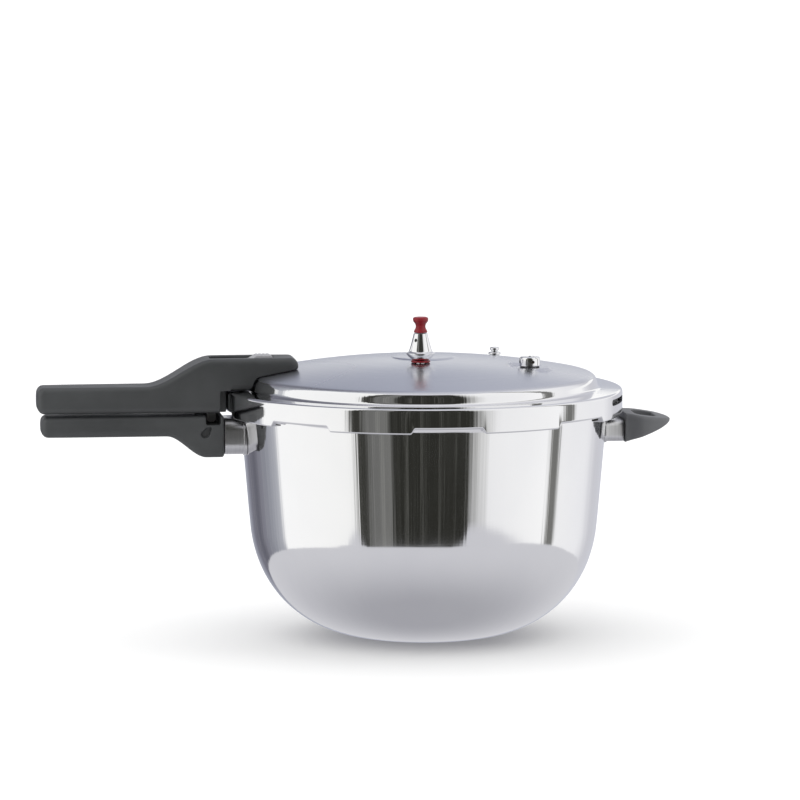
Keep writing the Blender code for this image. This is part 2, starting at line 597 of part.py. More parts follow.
def slider_parts():
    """The thumb slider in the top recess and the steel bar whose foot drops into the pot's handle."""
    floor = RECESS_FLOOR + GAP
    bump_out = SLIDER_IN + 13.0
    bump_top = LID_NOSE_TOP + 1.5
    outline = [(SLIDER_IN, floor), (SLIDER_OUT, floor), (SLIDER_OUT, floor + 2.4),
               (bump_out + 4.0, floor + 3.0), (bump_out, bump_top - 0.9),
               (bump_out - 2.0, bump_top), (SLIDER_IN + 2.0, bump_top), (SLIDER_IN, bump_top - 1.2)]
    rings = [[Vector((-u, y, z)) for u, z in outline] for y in (-SLIDER_HALF, SLIDER_HALF)]
    origin = (-SLIDER_IN, 0.0, floor)
    finish("slider_button", loft(rings), SILVER, origin)
    bar_in = SLIDER_IN + 6.0
    top = RECESS_FLOOR
    outline = [(bar_in, BAR_BOTTOM), (FOOT_IN, BAR_BOTTOM), (FOOT_IN, FOOT_BOTTOM + 1.5),
               (FOOT_IN + 1.5, FOOT_BOTTOM), (FOOT_OUT - 1.5, FOOT_BOTTOM), (FOOT_OUT, FOOT_BOTTOM + 1.5),
               (FOOT_OUT, top), (bar_in, top)]
    rings = [[Vector((-u, y, z)) for u, z in outline] for y in (-FOOT_HALF, FOOT_HALF)]
    finish("lock_bar", loft(rings), STEEL_DARK, origin)


def vent_parts():
    """The vent pipe through the lid with its red gasket, nut and strainer cap."""
    x, y = REGULATOR_AT
    seat = dome_z(math.hypot(x, y)) + 0.5
    under = seat - LID_WALL - 1.2
    pipe = [(1.1, under - 9.0), (3.6, under - 9.0), (3.6, seat + 3.0), (2.8, seat + 4.0),
            (2.8, seat + 9.5), (1.6, seat + 10.6), (1.1, seat + 10.6)]
    turned("vent_pipe", pipe, REGULATOR_AT, CHROME, 16)
    gasket = [(4.1, seat), (7.0, seat), (7.2, seat + 0.6), (6.6, seat + 1.5), (4.1, seat + 1.5)]
    turned("vent_pipe_gasket", gasket, REGULATOR_AT, RED, 20)
    hex_nut("vent_pipe_nut", REGULATOR_AT, 3.6, 7.6, under - 4.0, under)
    cap = [(3.9, under - 4.3), (6.6, under - 4.3), (6.6, under - 12.0), (0.0, under - 13.0),
           (0.0, under - 12.0), (5.6, under - 11.2), (5.6, under - 5.3), (3.9, under - 5.3)]
    item = turned("vent_strainer", cap[4:] + cap[:4], REGULATOR_AT, STEEL_DARK, 16)
    for index in range(4):
        angle = math.pi * (index / 2 + 0.25)
        middle = (x + 6.0 * math.cos(angle), y + 6.0 * math.sin(angle))
        low = (middle[0] - 1.4, middle[1] - 1.4, under - 10.6)
        high = (middle[0] + 1.4, middle[1] + 1.4, under - 6.4)
        combine(item, box("vent_strainer_hole_%d" % index, low, high))


def regulator_parts():
    """The weight that sits on the vent pipe, its inner needle and the red knob."""
    x, y = REGULATOR_AT
    seat = dome_z(math.hypot(x, y))
    origin = (x, y, seat)
    top = seat + 21.9
    outside = [(4.6, seat + 2.3), (6.2, seat + 2.3), (9.0, seat + 4.6), (10.5, seat + 6.6),
               (10.8, seat + 7.5), (10.2, seat + 8.1), (8.5, seat + 8.4), (6.9, seat + 14.0),
               (5.2, top - 0.4), (3.0, top)]
    bore = [(0.0, top), (0.0, seat + 18.5), (3.4, seat + 17.0), (3.6, seat + 4.6)]
    turned("regulator_weight", outside + bore, REGULATOR_AT, CHROME, 24, origin)
    needle = [(0.0, seat + 11.5), (0.9, seat + 13.0), (2.6, seat + 13.6), (2.6, seat + 16.4),
              (0.0, seat + 17.6)]
    turned("regulator_needle", needle, REGULATOR_AT, BRASS, 12, origin)
    foot = top + GAP + 0.1
    knob = [(0.0, foot), (4.9, foot), (4.9, foot + 1.2), (3.6, foot + 3.8), (3.6, foot + 6.0),
            (5.7, foot + 9.0), (5.7, foot + 10.0), (4.2, foot + 11.3), (0.0, foot + 11.5)]
    turned("regulator_knob", knob, REGULATOR_AT, RED, 20, origin)


def safety_parts():
    """The spring-loaded relief valve: body, poppet, spring, gasket and nut."""
    seat = dome_z(SAFETY_REACH) + SEAT_LIFT + GAP
    gasket_top = seat + 0.5
    gasket = [(5.6, seat), (7.2, seat), (7.2, gasket_top), (5.6, gasket_top)]
    turned("safety_valve_gasket", gasket, SAFETY_AT, RUBBER, 20)
    foot = gasket_top + GAP
    low = seat - 4.6
    body = [(2.2, low - 5.0), (5.0, low - 5.0), (5.0, foot), (7.8, foot), (7.8, foot + 5.6),
            (7.0, foot + 6.6), (3.4, foot + 6.9), (3.0, foot + 6.9), (3.0, foot + 5.6),
            (5.0, foot + 5.6), (5.0, foot + 1.2), (2.2, foot + 0.6)]
    item = turned("safety_valve_body", body, SAFETY_AT, CHROME, 20)
    for index, angle in enumerate(VALVE_PORT_ANGLES):
        out = Vector((math.cos(angle), math.sin(angle), 0.0))
        side = Vector((-out.y, out.x, 0.0))
        rings = []
        for reach in (3.6, 10.0):
            ring = []
            for step in range(8):
                turn = math.pi * (step + 0.5) / 4
                point = out * reach + side * math.cos(turn) + Vector((0.0, 0.0, math.sin(turn)))
                ring.append(point + Vector((SAFETY_AT[0], SAFETY_AT[1], foot + 3.2)))
            rings.append(ring)
        combine(item, finish("safety_valve_port_%d" % index, loft(rings), None))
    origin = (SAFETY_AT[0], SAFETY_AT[1], foot)
    poppet = [(0.0, foot - 2.6), (1.7, foot - 2.2), (1.7, foot + 1.6), (4.4, foot + 1.6), (4.4, foot + 2.2),
              (2.4, foot + 2.6), (2.4, foot + 4.2), (0.0, foot + 4.2)]
    turned("safety_valve_poppet", poppet, SAFETY_AT, BRASS, 16, origin)
    spring = [(3.1, foot + 2.9), (4.4, foot + 2.9), (4.4, foot + 5.3), (3.1, foot + 5.3)]
    turned("safety_valve_spring", spring, SAFETY_AT, STEEL_DARK, 12)
    hex_nut("safety_valve_nut", SAFETY_AT, 5.0, 9.8, low - 4.6, low - 0.1)


def float_parts():
    """The pressure indicator: a light pin that rises in a bush when the pot is under pressure."""
    seat = dome_z(math.hypot(*FLOAT_AT)) + 0.9
    under = seat - 4.3
    bush = [(2.1, under - 7.0), (3.7, under - 7.0), (3.7, seat), (4.8, seat), (4.8, seat + 0.8),
            (4.2, seat + 1.4), (2.1, seat + 1.4)]
    turned("float_bush", bush, FLOAT_AT, CHROME, 16)
    hex_nut("float_nut", FLOAT_AT, 3.7, 7.8, under - 4.6, under - 0.8)
    origin = (FLOAT_AT[0], FLOAT_AT[1], seat)
    low = under - 7.0 - FLOAT_RISE - 1.8
    pin = [(0.0, low - 1.2), (3.4, low - 1.2), (3.4, low), (1.7, low + 0.1), (1.7, seat + 1.8),
           (2.6, seat + 1.8), (2.6, seat + 2.8), (3.6, seat + 3.2), (3.6, seat + 4.6), (2.8, seat + 5.2),
           (0.0, seat + 5.3)]
    turned("float_pin", pin, FLOAT_AT, CHROME, 16, origin)
    seal = [(2.0, low + 0.3), (3.3, low + 0.3), (3.3, low + 1.5), (2.0, low + 1.5)]
    turned("float_seal", seal, FLOAT_AT, RUBBER, 12, origin)


def lid_parts():
    lid()
    sealing_gasket()
    lid_handle_shell()
    lid_handle_bracket()
    screw("lid_handle_screw", LID_SCREW_AT, RIM - 11.0, RIM - 7.8, RIM + 6.6)
    slider_parts()
    vent_parts()
    regulator_parts()
    safety_parts()
    float_parts()


clear_scene()
pot_parts()
lid_parts()
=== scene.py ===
"""Stovetop pressure cooker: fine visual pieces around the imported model, laid out as an add-on.

The model is in metres with the origin at the centre of the pot's base, +Z up, the long handles along
-X and the helper handle along +X. Sizes below are in millimetres, and MM turns them into metres.
"""
import math

import bpy
import bmesh
from bpy.props import FloatProperty, FloatVectorProperty, PointerProperty
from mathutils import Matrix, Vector


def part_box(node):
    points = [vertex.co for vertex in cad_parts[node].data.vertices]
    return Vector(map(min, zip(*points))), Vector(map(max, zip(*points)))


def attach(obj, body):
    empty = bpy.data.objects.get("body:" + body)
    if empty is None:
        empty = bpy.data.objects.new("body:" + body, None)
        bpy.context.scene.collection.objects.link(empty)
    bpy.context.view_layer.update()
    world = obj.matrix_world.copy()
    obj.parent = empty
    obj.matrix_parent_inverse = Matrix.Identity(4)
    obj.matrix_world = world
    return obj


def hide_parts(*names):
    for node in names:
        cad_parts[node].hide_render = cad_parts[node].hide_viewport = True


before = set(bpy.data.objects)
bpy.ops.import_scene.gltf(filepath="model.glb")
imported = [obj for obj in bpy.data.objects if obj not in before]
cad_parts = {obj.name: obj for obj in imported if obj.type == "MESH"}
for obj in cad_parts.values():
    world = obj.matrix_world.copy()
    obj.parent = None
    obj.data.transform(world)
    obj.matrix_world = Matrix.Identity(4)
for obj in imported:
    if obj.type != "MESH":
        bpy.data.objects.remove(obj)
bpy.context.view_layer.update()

bl_info = {
    "name": "Pressure cooker",
    "version": (1, 0, 0),
    "blender": (4, 5, 0),
    "location": "3D View > Sidebar > Cooker",
    "description": "Builds a stovetop pressure cooker with a bayonet lid, piece by piece",
    "category": "Add Mesh",
}

MM = 0.001
ROUGH_EDGES = 0                   # open edges that a cut may leave
CUT_SHARE = 0.05                  # least share of a piece that a cut may leave


def frame_mm(node):
    """A CAD node's lowest and highest corners in millimetres."""
    low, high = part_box(node)
    return low / MM, high / MM


# Driving dimensions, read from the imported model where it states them.
SKIRT_RADIUS = frame_mm("lid")[1].x
RIM = 184.5                       # top edge of the lid's skirt above the base
GAP = 0.3                         # clearance kept between pieces that touch
WALL = 2.0
BASE_THICKNESS = 5.0
BASE_RADIUS = 36.0
WALL_TOP_RADIUS = 135.9
WALL_LOW_RADIUS = 129.2
WALL_LOW_Z = RIM - 97.3
BOTTOM_POWER = 2.15
BOTTOM_CENTRE_Z = RIM - 89.8
FLANGE_TOP = RIM - 9.8
FLANGE_BOTTOM = RIM - 15.0
FLANGE_INNER = 131.5
FLANGE_RADIUS = 137.0
POT_LUG_RADIUS = 143.5

LUG_COUNT = 8
LUG_PITCH = 360.0 / LUG_COUNT
FIRST_LUG = LUG_PITCH / 2
LID_LUG_HALF = 11.67
LID_LUG_SLOPE = 1.32
POT_LUG_HALF = 8.8
POT_LUG_SLOPE = 1.0

DOME_RADIUS = 630.0
DOME_TOP = RIM + 22.8
DOME_EDGE = 121.6
LID_WALL = 2.0
EMBLEM_RADIUS = 24.0
EMBLEM_HEIGHT = 0.9
SKIRT_WALL = 2.5
SKIRT_GAP_BOTTOM = RIM - 14.8
SKIRT_LUG_BOTTOM = RIM - 18.3
LIP_RADIUS = 138.0
WINDOW_ANGLE = math.radians(-19.8)
WINDOW_SIZE = (40.0, 4.7)
WINDOW_BOTTOM = RIM - 8.6

GRIP_HALF = 15.5
ROOT_HALF = 19.0
LID_HANDLE_TIP = 287.0
LID_HANDLE_NOSE = 97.0
LID_GRIP_TOP = RIM + 4.3
LID_GRIP_BOTTOM = RIM - 15.4
LID_NOSE_TOP = RIM + 24.4
WEB_IN = 145.0                    # where the lid's handle drops beside the skirt
NEAR_SIDE_IN = 152.7              # its near side stands further out
NEAR_SIDE_Y = -11.0
POT_HANDLE_TIP = 284.0
POT_HANDLE_ROOT = 149.9
POT_GRIP_TOP = RIM - 17.6
POT_GRIP_BOTTOM = RIM - 32.7
POT_ROOT_BOTTOM = RIM - 48.3
POT_TONGUE_Z = RIM - 28.6
POT_SCREW_AT = (-178.0, 0.0)
LID_SCREW_AT = (-179.0, 0.0)
SCREW_BORE = 2.4
SCREW_HEAD_BORE = 4.7
BELOW_HANDLES = RIM - 60.0        # where the upright cuts through the handles start

SLIDER_TRAVEL = 8.0
SLIDER_IN = 113.0
SLIDER_OUT = 141.0
SLIDER_HALF = 8.0
FOOT_IN = 155.0
FOOT_OUT = 161.5
FOOT_HALF = 2.5
BAR_BOTTOM = RIM + 14.5
RECESS_FLOOR = RIM + 19.4
BAY_FLOOR = RIM - 24.2
BAY_IN = 152.6
POCKET_OUT = 170.3

HELPER_ROOT = 148.7
HELPER_TIP = 184.6
HELPER_HALF = 29.0
HELPER_ROOT_TOP = RIM - 19.3
HELPER_TOP_FALL = 4.7
HELPER_ROOT_BOTTOM = RIM - 41.2
HELPER_BOTTOM_RISE = 14.2
HELPER_SCREW_AT = (153.0, 0.0)
FINGER_SLOT_IN = 157.5
FINGER_SLOT_OUT = 173.0
FINGER_SLOT_HALF = 16.5

REGULATOR_AT = (-6.5, -34.3)
SAFETY_AT = (75.0, -31.6)
SAFETY_REACH = math.hypot(*SAFETY_AT)
SEAT_LIFT = -0.2                  # the safety valve's flat seat over the dome's surface there
FLOAT_AT = (61.0, 55.0)
VALVE_PORT_ANGLES = [math.radians(11.0 + 90.0 * turn) for turn in range(4)]
SEAT_FLAT = 14.0                  # the seat is level up to here, and blended into the dome by SEAT_OUT
SEAT_OUT = 17.5
DOME_ROWS = [32.0, 42.0, 54.0] + [60.0 + 1.5 * row for row in range(30)] + [108.0, 114.0]
SATIN_ROWS = 18 + len(DOME_ROWS)  # rows of the lid's section with the satin finish

VIEW_AZIMUTH = math.radians(-7.0)     # the camera stands a little towards the long handles
VIEW_RISE = math.radians(6.45)


# ---- mesh helpers --------------------------------------------------------------------------

def to_object(name, bm, materials, sharp=38.0):
    """Make one smooth-shaded object from a bmesh in millimetres."""
    bmesh.ops.remove_doubles(bm, verts=bm.verts, dist=0.0005)
    bmesh.ops.recalc_face_normals(bm, faces=bm.faces)
    bmesh.ops.scale(bm, vec=(MM, MM, MM), verts=bm.verts)
    mesh = bpy.data.meshes.new(name)
    bm.to_mesh(mesh)
    bm.free()
    for item in materials:
        mesh.materials.append(item)
    mesh.shade_smooth()
    mesh.set_sharp_from_angle(angle=math.radians(sharp))
    made = bpy.data.objects.new(name, mesh)
    bpy.context.scene.collection.objects.link(made)
    return made


def loft(rings):
    """Join closed rings of equal length and cap both ends."""
    bm = bmesh.new()
    made = [[bm.verts.new(point) for point in ring] for ring in rings]
    count = len(made[0])
    for one, two in zip(made, made[1:]):
        for i in range(count):
            bm.faces.new((one[i], one[(i + 1) % count], two[(i + 1) % count], two[i]))
    bm.faces.new(made[0])
    bm.faces.new(made[-1])
    return bm


def revolve(section_at, angles, centre=(0.0, 0.0), paint=None):
    """Sweep a closed section of (radius, z) points round a vertical axis."""
    bm = bmesh.new()
    poles = {}
    columns = []
    for angle in angles:
        column = []
        for index, (radius, z) in enumerate(section_at(angle)):
            point = (centre[0] + radius * math.cos(angle), centre[1] + radius * math.sin(angle), z)
            if radius < 1e-6:
                if index not in poles:
                    poles[index] = bm.verts.new(point)
                column.append(poles[index])
            else:
                column.append(bm.verts.new(point))
        columns.append(column)
    count = len(columns[0])
    for one, two in zip(columns, columns[1:] + columns[:1]):
        for i in range(count):
            corners = []
            for vert in (one[i], one[(i + 1) % count], two[(i + 1) % count], two[i]):
                if vert not in corners:
                    corners.append(vert)
            if len(corners) > 2:
                face = bm.faces.new(corners)
                if paint:
                    face.material_index = paint(i)
    return bm


def even_angles(count):
    return [2 * math.pi * i / count for i in range(count)]


def turned(name, profile, at, materials, segments=64, sharp=38.0):
    bm = revolve(lambda angle: profile, even_angles(segments), at)
    return to_object(name, bm, materials, sharp)


def rounded(points, radii, steps=5):
    """An open outline with its inner corners rounded by quadratic arcs of the given sizes."""
    made = [points[0]]
    for before, corner, after, radius in zip(points, points[1:], points[2:], radii):
        if radius <= 0.0:
            made.append(corner)
            continue
        one = Vector(before) - Vector(corner)
        two = Vector(after) - Vector(corner)
        start = Vector(corner) + one.normalized() * min(radius, one.length * 0.49)
        end = Vector(corner) + two.normalized() * min(radius, two.length * 0.49)
        for i in range(steps + 1):
            t = i / steps
            spot = start * (1 - t) ** 2 + Vector(corner) * 2 * t * (1 - t) + end * t * t
            made.append((spot.x, spot.y))
    made.append(points[-1])
    return made


def round_profile(points, radius, steps=4):
    """A whole outline from the axis to the axis, every inner corner rounded by one radius."""
    return rounded(points, [radius] * (len(points) - 2), steps)


def closed_profile(points, radius, steps=3):
    """A closed outline that doesn't touch the axis, every corner rounded by one radius."""
    start = tuple((Vector(points[-1]) + Vector(points[0])) / 2)
    loop = rounded([start] + list(points) + [start], [radius] * len(points), steps)
    return loop[:-1]


def rounded_ring(u, bottom, top, half, radius, side=-1, steps=7, crown=0.0):
    """A rounded rectangle across a handle, at distance u along side (-1 is -X), with a crowned top."""
    radius = min(radius, half * 0.98, (top - bottom) * 0.49)
    points = []
    corners = ((half, top, 0.0), (-half, top, 90.0), (-half, bottom, 180.0), (half, bottom, 270.0))
    for y, z, start in corners:
        cy = y - math.copysign(radius, y)
        cz = top - radius if z == top else bottom + radius
        for i in range(steps + 1):
            angle = math.radians(start + 90.0 * i / steps)
            py = cy + radius * math.cos(angle)
            lift = crown * ((py / half) ** 2) if z == top else 0.0
            points.append(Vector((side * u, py, cz + radius * math.sin(angle) - lift)))
    return points


def box_mesh(low, high):
    ring = [(low[0], low[1]), (high[0], low[1]), (high[0], high[1]), (low[0], high[1])]
    return loft([[Vector((x, y, z)) for x, y in ring] for z in (low[2], high[2])])


def round_bar(low, high, radius, steps=6):
    """An upright block whose plan has rounded corners, for cutting slots with round ends."""
    ring = []
    corners = ((high[0], high[1], 0.0), (low[0], high[1], 90.0), (low[0], low[1], 180.0),
               (high[0], low[1], 270.0))
    for x, y, start in corners:
        cx = x - radius if x == high[0] else x + radius
        cy = y - radius if y == high[1] else y + radius
        for i in range(steps + 1):
            angle = math.radians(start + 90.0 * i / steps)
            ring.append((cx + radius * math.cos(angle), cy + radius * math.sin(angle)))
    return loft([[Vector((x, y, z)) for x, y in ring] for z in (low[2], high[2])])


def cylinder_mesh(at, radius, low, high, segments=32):
    profile = [(0.0, low), (radius, low), (radius, high), (0.0, high)]
    return revolve(lambda angle: profile, even_angles(segments), at)


def solid_facts(mesh):
    """A mesh's signed volume and its count of edges that don't join exactly two faces."""
    bm = bmesh.new()
    bm.from_mesh(mesh)
    volume = bm.calc_volume(signed=True)
    loose = sum(1 for edge in bm.edges if not edge.is_manifold)
    bm.free()
    return volume, loose


def carve(item, tools):
    """Cut an object with meshes in millimetres and keep the result, which must stay a sound solid."""
    before = solid_facts(item.data)[0]
    made = [to_object("tool", bm, []) for bm in tools]
    for tool in made:
        change = item.modifiers.new("cut", "BOOLEAN")
        change.operation = "DIFFERENCE"
        change.object = tool
        change.solver = "EXACT"
    bake(item)
    after, loose = solid_facts(item.data)
    if loose > ROUGH_EDGES or not CUT_SHARE * before < after < before:
        raise RuntimeError("the cut went wrong on %s: %d loose edges" % (item.name, loose))
    for tool in made:
        bpy.data.objects.remove(tool, do_unlink=True)
    return item


def bake(item):
    """Apply an object's modifiers to its mesh."""
    graph = bpy.context.evaluated_depsgraph_get()
    mesh = bpy.data.meshes.new_from_object(item.evaluated_get(graph))
    item.modifiers.clear()
    item.data = mesh


def soften(item, voxel, passes, sharp=60.0):
    """Round every edge a little, as a moulded part's are, by remeshing and smoothing it."""
    remesh = item.modifiers.new("remesh", "REMESH")
    remesh.mode = "VOXEL"
    remesh.voxel_size = voxel * MM
    smooth = item.modifiers.new("smooth", "SMOOTH")
    smooth.factor = 0.5
    smooth.iterations = passes
    bake(item)
    item.data.shade_smooth()
    item.data.set_sharp_from_angle(angle=math.radians(sharp))
    return item


def ease(t):
    t = min(max(t, 0.0), 1.0)
    return t * t * (3 - 2 * t)


def place(item, body, slot, *nodes):
    """Ride a finished piece on its body and let it stand for the nodes it replaces."""
    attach(item, body)
    if nodes:
        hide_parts(*nodes)
    return item


# ---- materials -----------------------------------------------------------------------------

class Shader:
    """A short way to write a node material."""

    def __init__(self, name, colour, roughness, metallic, coat=0.0):
        self.material = bpy.data.materials.new(name)
        self.material.use_nodes = True
        self.tree = self.material.node_tree
        self.shader = self.tree.nodes["Principled BSDF"]
        self.set("Base Color", (*colour, 1.0))
        self.set("Roughness", roughness)
        self.set("Metallic", metallic)
        self.set("Coat Weight", coat)
        self.place = self.node("ShaderNodeTexCoord").outputs["Object"]

    def set(self, socket, value):
        self.shader.inputs[socket].default_value = value

    def node(self, kind, **settings):
        made = self.tree.nodes.new(kind)
        for key, value in settings.items():
            setattr(made, key, value)
        return made

    def link(self, start, end):
        self.tree.links.new(start, end)

    def stretch(self, scale):
        """Object coordinates scaled differently along each axis."""
        mapping = self.node("ShaderNodeMapping")
        mapping.inputs["Scale"].default_value = scale
        self.link(self.place, mapping.inputs["Vector"])
        return mapping.outputs["Vector"]

    def polar(self, across, around, up):
        """Coordinates that follow circles round the cooker's axis, for turned and spun metal."""
        split = self.node("ShaderNodeSeparateXYZ")
        self.link(self.place, split.inputs["Vector"])
        squares = []
        for axis in "XY":
            square = self.node("ShaderNodeMath", operation="MULTIPLY")
            self.link(split.outputs[axis], square.inputs[0])
            self.link(split.outputs[axis], square.inputs[1])
            squares.append(square.outputs[0])
        total = self.node("ShaderNodeMath", operation="ADD")
        self.link(squares[0], total.inputs[0])
        self.link(squares[1], total.inputs[1])
        radius = self.node("ShaderNodeMath", operation="SQRT")
        self.link(total.outputs[0], radius.inputs[0])
        angle = self.node("ShaderNodeMath", operation="ARCTAN2")
        self.link(split.outputs["Y"], angle.inputs[0])
        self.link(split.outputs["X"], angle.inputs[1])
        joined = self.node("ShaderNodeCombineXYZ")
        for value, scale, axis in ((radius.outputs[0], across, "X"), (angle.outputs[0], around, "Y"),
                                   (split.outputs["Z"], up, "Z")):
            times = self.node("ShaderNodeMath", operation="MULTIPLY")
            times.inputs[1].default_value = scale
            self.link(value, times.inputs[0])
            self.link(times.outputs[0], joined.inputs[axis])
        return joined.outputs["Vector"]

    def noise(self, vector, scale, detail=4.0, roughness=0.55):
        made = self.node("ShaderNodeTexNoise")
        made.inputs["Scale"].default_value = scale
        made.inputs["Detail"].default_value = detail
        made.inputs["Roughness"].default_value = roughness
        self.link(vector, made.inputs["Vector"])
        return made.outputs["Fac"]

    def vary_roughness(self, factor, low, high, start=0.3, end=0.7):
        span = self.node("ShaderNodeMapRange")
        for socket, value in (("From Min", start), ("From Max", end), ("To Min", low), ("To Max", high)):
            span.inputs[socket].default_value = value
        self.link(factor, span.inputs["Value"])
        self.link(span.outputs["Result"], self.shader.inputs["Roughness"])

    def vary_colour(self, factor, dark, light, start=0.3, end=0.7):
        ramp = self.node("ShaderNodeValToRGB")
        ramp.color_ramp.elements[0].position = start
        ramp.color_ramp.elements[0].color = (*dark, 1.0)
        ramp.color_ramp.elements[1].position = end
        ramp.color_ramp.elements[1].color = (*light, 1.0)
        self.link(factor, ramp.inputs["Fac"])
        self.link(ramp.outputs["Color"], self.shader.inputs["Base Color"])

    def bump(self, *layers):
        """Add bump layers of (factor, height in metres, strength) one over another."""
        normal = None
        for factor, height, strength in layers:
            made = self.node("ShaderNodeBump")
            made.inputs["Distance"].default_value = height
            made.inputs["Strength"].default_value = strength
            self.link(factor, made.inputs["Height"])
            if normal:
                self.link(normal, made.inputs["Normal"])
            normal = made.outputs["Normal"]
        self.link(normal, self.shader.inputs["Normal"])


def polished_steel(name="polished_steel_body"):
    """Mirror-polished drawn steel: soft waves, faint upright streaks and hairlines round the pot."""
    made = Shader(name, (0.86, 0.86, 0.875), 0.05, 1.0)
    waves = made.noise(made.stretch((9.0, 9.0, 5.0)), 1.0, 2.0)
    streaks = made.noise(made.polar(10.0, 46.0, 3.0), 1.0, 3.0)
    lines = made.noise(made.polar(300.0, 3.0, 900.0), 1.0, 2.0)
    smudge = made.noise(made.stretch((14.0, 14.0, 10.0)), 1.0, 5.0)
    made.vary_roughness(smudge, 0.030, 0.075)
    made.vary_colour(smudge, (0.83, 0.83, 0.85), (0.88, 0.88, 0.89))
    made.bump((waves, 0.0012, 0.30), (streaks, 0.00016, 0.30), (lines, 0.00001, 0.15))
    return made.material


def satin_steel():
    """Spun satin steel on the dome, with very fine circles round its middle."""
    made = Shader("satin_steel_dome", (0.70, 0.71, 0.76), 0.3, 1.0)
    circles = made.noise(made.polar(900.0, 1.0, 0.0), 1.0, 1.0)
    patches = made.noise(made.stretch((7.0, 7.0, 7.0)), 1.0, 1.0)
    made.vary_roughness(patches, 0.25, 0.31)
    made.vary_colour(circles, (0.69, 0.70, 0.745), (0.73, 0.74, 0.78))
    made.bump((circles, 0.000004, 0.15))
    return made.material


def sleeve_steel():
    """Brushed bright steel of the pressed sleeves, with the brush marks running round them."""
    made = Shader("brushed_steel_sleeves", (0.74, 0.74, 0.75), 0.3, 1.0)
    brush = made.noise(made.stretch((1500.0, 40.0, 40.0)), 1.0, 4.0)
    smudge = made.noise(made.stretch((40.0, 40.0, 40.0)), 1.0, 3.0)
    made.vary_roughness(smudge, 0.26, 0.36)
    made.vary_colour(brush, (0.68, 0.68, 0.69), (0.78, 0.78, 0.79))
    made.bump((brush, 0.00002, 0.5))
    return made.material


def chrome(name="bright_chrome_fittings"):
    made = Shader(name, (0.88, 0.88, 0.89), 0.04, 1.0)
    turning = made.noise(made.stretch((60.0, 60.0, 2200.0)), 1.0, 2.0)
    smudge = made.noise(made.stretch((180.0, 180.0, 180.0)), 1.0, 4.0)
    made.vary_roughness(smudge, 0.03, 0.09)
    made.bump((turning, 0.00001, 0.2))
    return made.material


def stamped_steel():
    made = Shader("stamped_steel_fixings", (0.46, 0.46, 0.48), 0.4, 1.0)
    grain = made.noise(made.stretch((420.0, 60.0, 420.0)), 1.0, 4.0)
    made.vary_roughness(grain, 0.30, 0.50)
    made.vary_colour(grain, (0.38, 0.38, 0.40), (0.52, 0.52, 0.54))
    made.bump((grain, 0.00003, 0.5))
    return made.material


def phenolic(name, dark, light, roughness=(0.40, 0.54)):
    """Moulded phenolic: fine grain, slight mottling and a soft sheen."""
    made = Shader(name, light, roughness[1], 0.0)
    made.set("Specular IOR Level", 0.45)
    grain = made.noise(made.stretch((1500.0, 1500.0, 1500.0)), 1.0, 3.0)
    mottle = made.noise(made.stretch((26.0, 26.0, 26.0)), 1.0, 4.0)
    made.vary_roughness(mottle, roughness[0], roughness[1])
    made.vary_colour(mottle, dark, light)
    made.bump((mottle, 0.0006, 0.10), (grain, 0.00006, 0.55))
    return made.material


def red_silicone():
    """Deep red silicone, slightly mottled; the light shade is the one the user sets."""
    light = tuple(bpy.context.scene.cooker.knob_colour)
    made = Shader("red_silicone_fittings", light, 0.4, 0.0)
    mottle = made.noise(made.stretch((260.0, 260.0, 260.0)), 1.0, 4.0)
    made.vary_roughness(mottle, 0.28, 0.44)
    made.vary_colour(mottle, darker(light), light)
    made.bump((mottle, 0.00008, 0.3))
    return made.material


def rubber():
    made = Shader("grey_rubber_seals", (0.05, 0.05, 0.052), 0.7, 0.0)
    mottle = made.noise(made.stretch((300.0, 300.0, 300.0)), 1.0, 4.0)
    made.vary_roughness(mottle, 0.60, 0.80)
    made.vary_colour(mottle, (0.035, 0.035, 0.037), (0.07, 0.07, 0.073))
    made.bump((mottle, 0.00006, 0.4))
    return made.material


def brass():
    made = Shader("valve_brass_parts", (0.70, 0.52, 0.22), 0.3, 1.0)
    grain = made.noise(made.stretch((200.0, 200.0, 1400.0)), 1.0, 3.0)
    made.vary_roughness(grain, 0.22, 0.38)
    made.vary_colour(grain, (0.60, 0.43, 0.17), (0.76, 0.58, 0.27))
    made.bump((grain, 0.00002, 0.4))
    return made.material


MATERIALS = {}


def darker(colour):
    """The darker shade that a moulded piece's mottling fades to."""
    return tuple(0.74 * part for part in colour)


def moulded(name, colour):
    light = tuple(colour)
    return phenolic(name, darker(light), light)


def finish_of(name):
    """The shared material of that finish, made the first time it is asked for."""
    cooker = bpy.context.scene.cooker
    makers = {
        "polished": polished_steel,
        "satin": satin_steel,
        "sleeve": sleeve_steel,
        "chrome": chrome,
        "stamped": stamped_steel,
        "handle": lambda: moulded("charcoal_phenolic_handle", cooker.handle_colour),
        "helper": lambda: moulded("grey_phenolic_helper", cooker.helper_colour),
        "slider": lambda: moulded("silver_plastic_slider", cooker.slider_colour),
        "red": red_silicone,
        "rubber": rubber,
        "brass": brass,
    }
    if name not in MATERIALS:
        MATERIALS[name] = makers[name]()
    return MATERIALS[name]


def round_hole(centre, out, radius, reach_in, reach_out, steps=20):
    """A round tool along a level direction, for side holes; centre is a point on its axis."""
    side = Vector((-out.y, out.x, 0.0))
    rings = []
    for reach in (reach_in, reach_out):
        turns = [2 * math.pi * step / steps for step in range(steps)]
        rings.append([centre + out * reach + side * radius * math.cos(turn)
                      + Vector((0.0, 0.0, radius * math.sin(turn))) for turn in turns])
    return loft(rings)


# ---- pot -----------------------------------------------------------------------------------

def on_lug(angle, half, slope):
    """1 on a lug, 0 between lugs, eased in between."""
    offset = (math.degrees(angle) - FIRST_LUG + LUG_PITCH / 2) % LUG_PITCH - LUG_PITCH / 2
    return min(max((half + slope - abs(offset)) / slope, 0.0), 1.0)


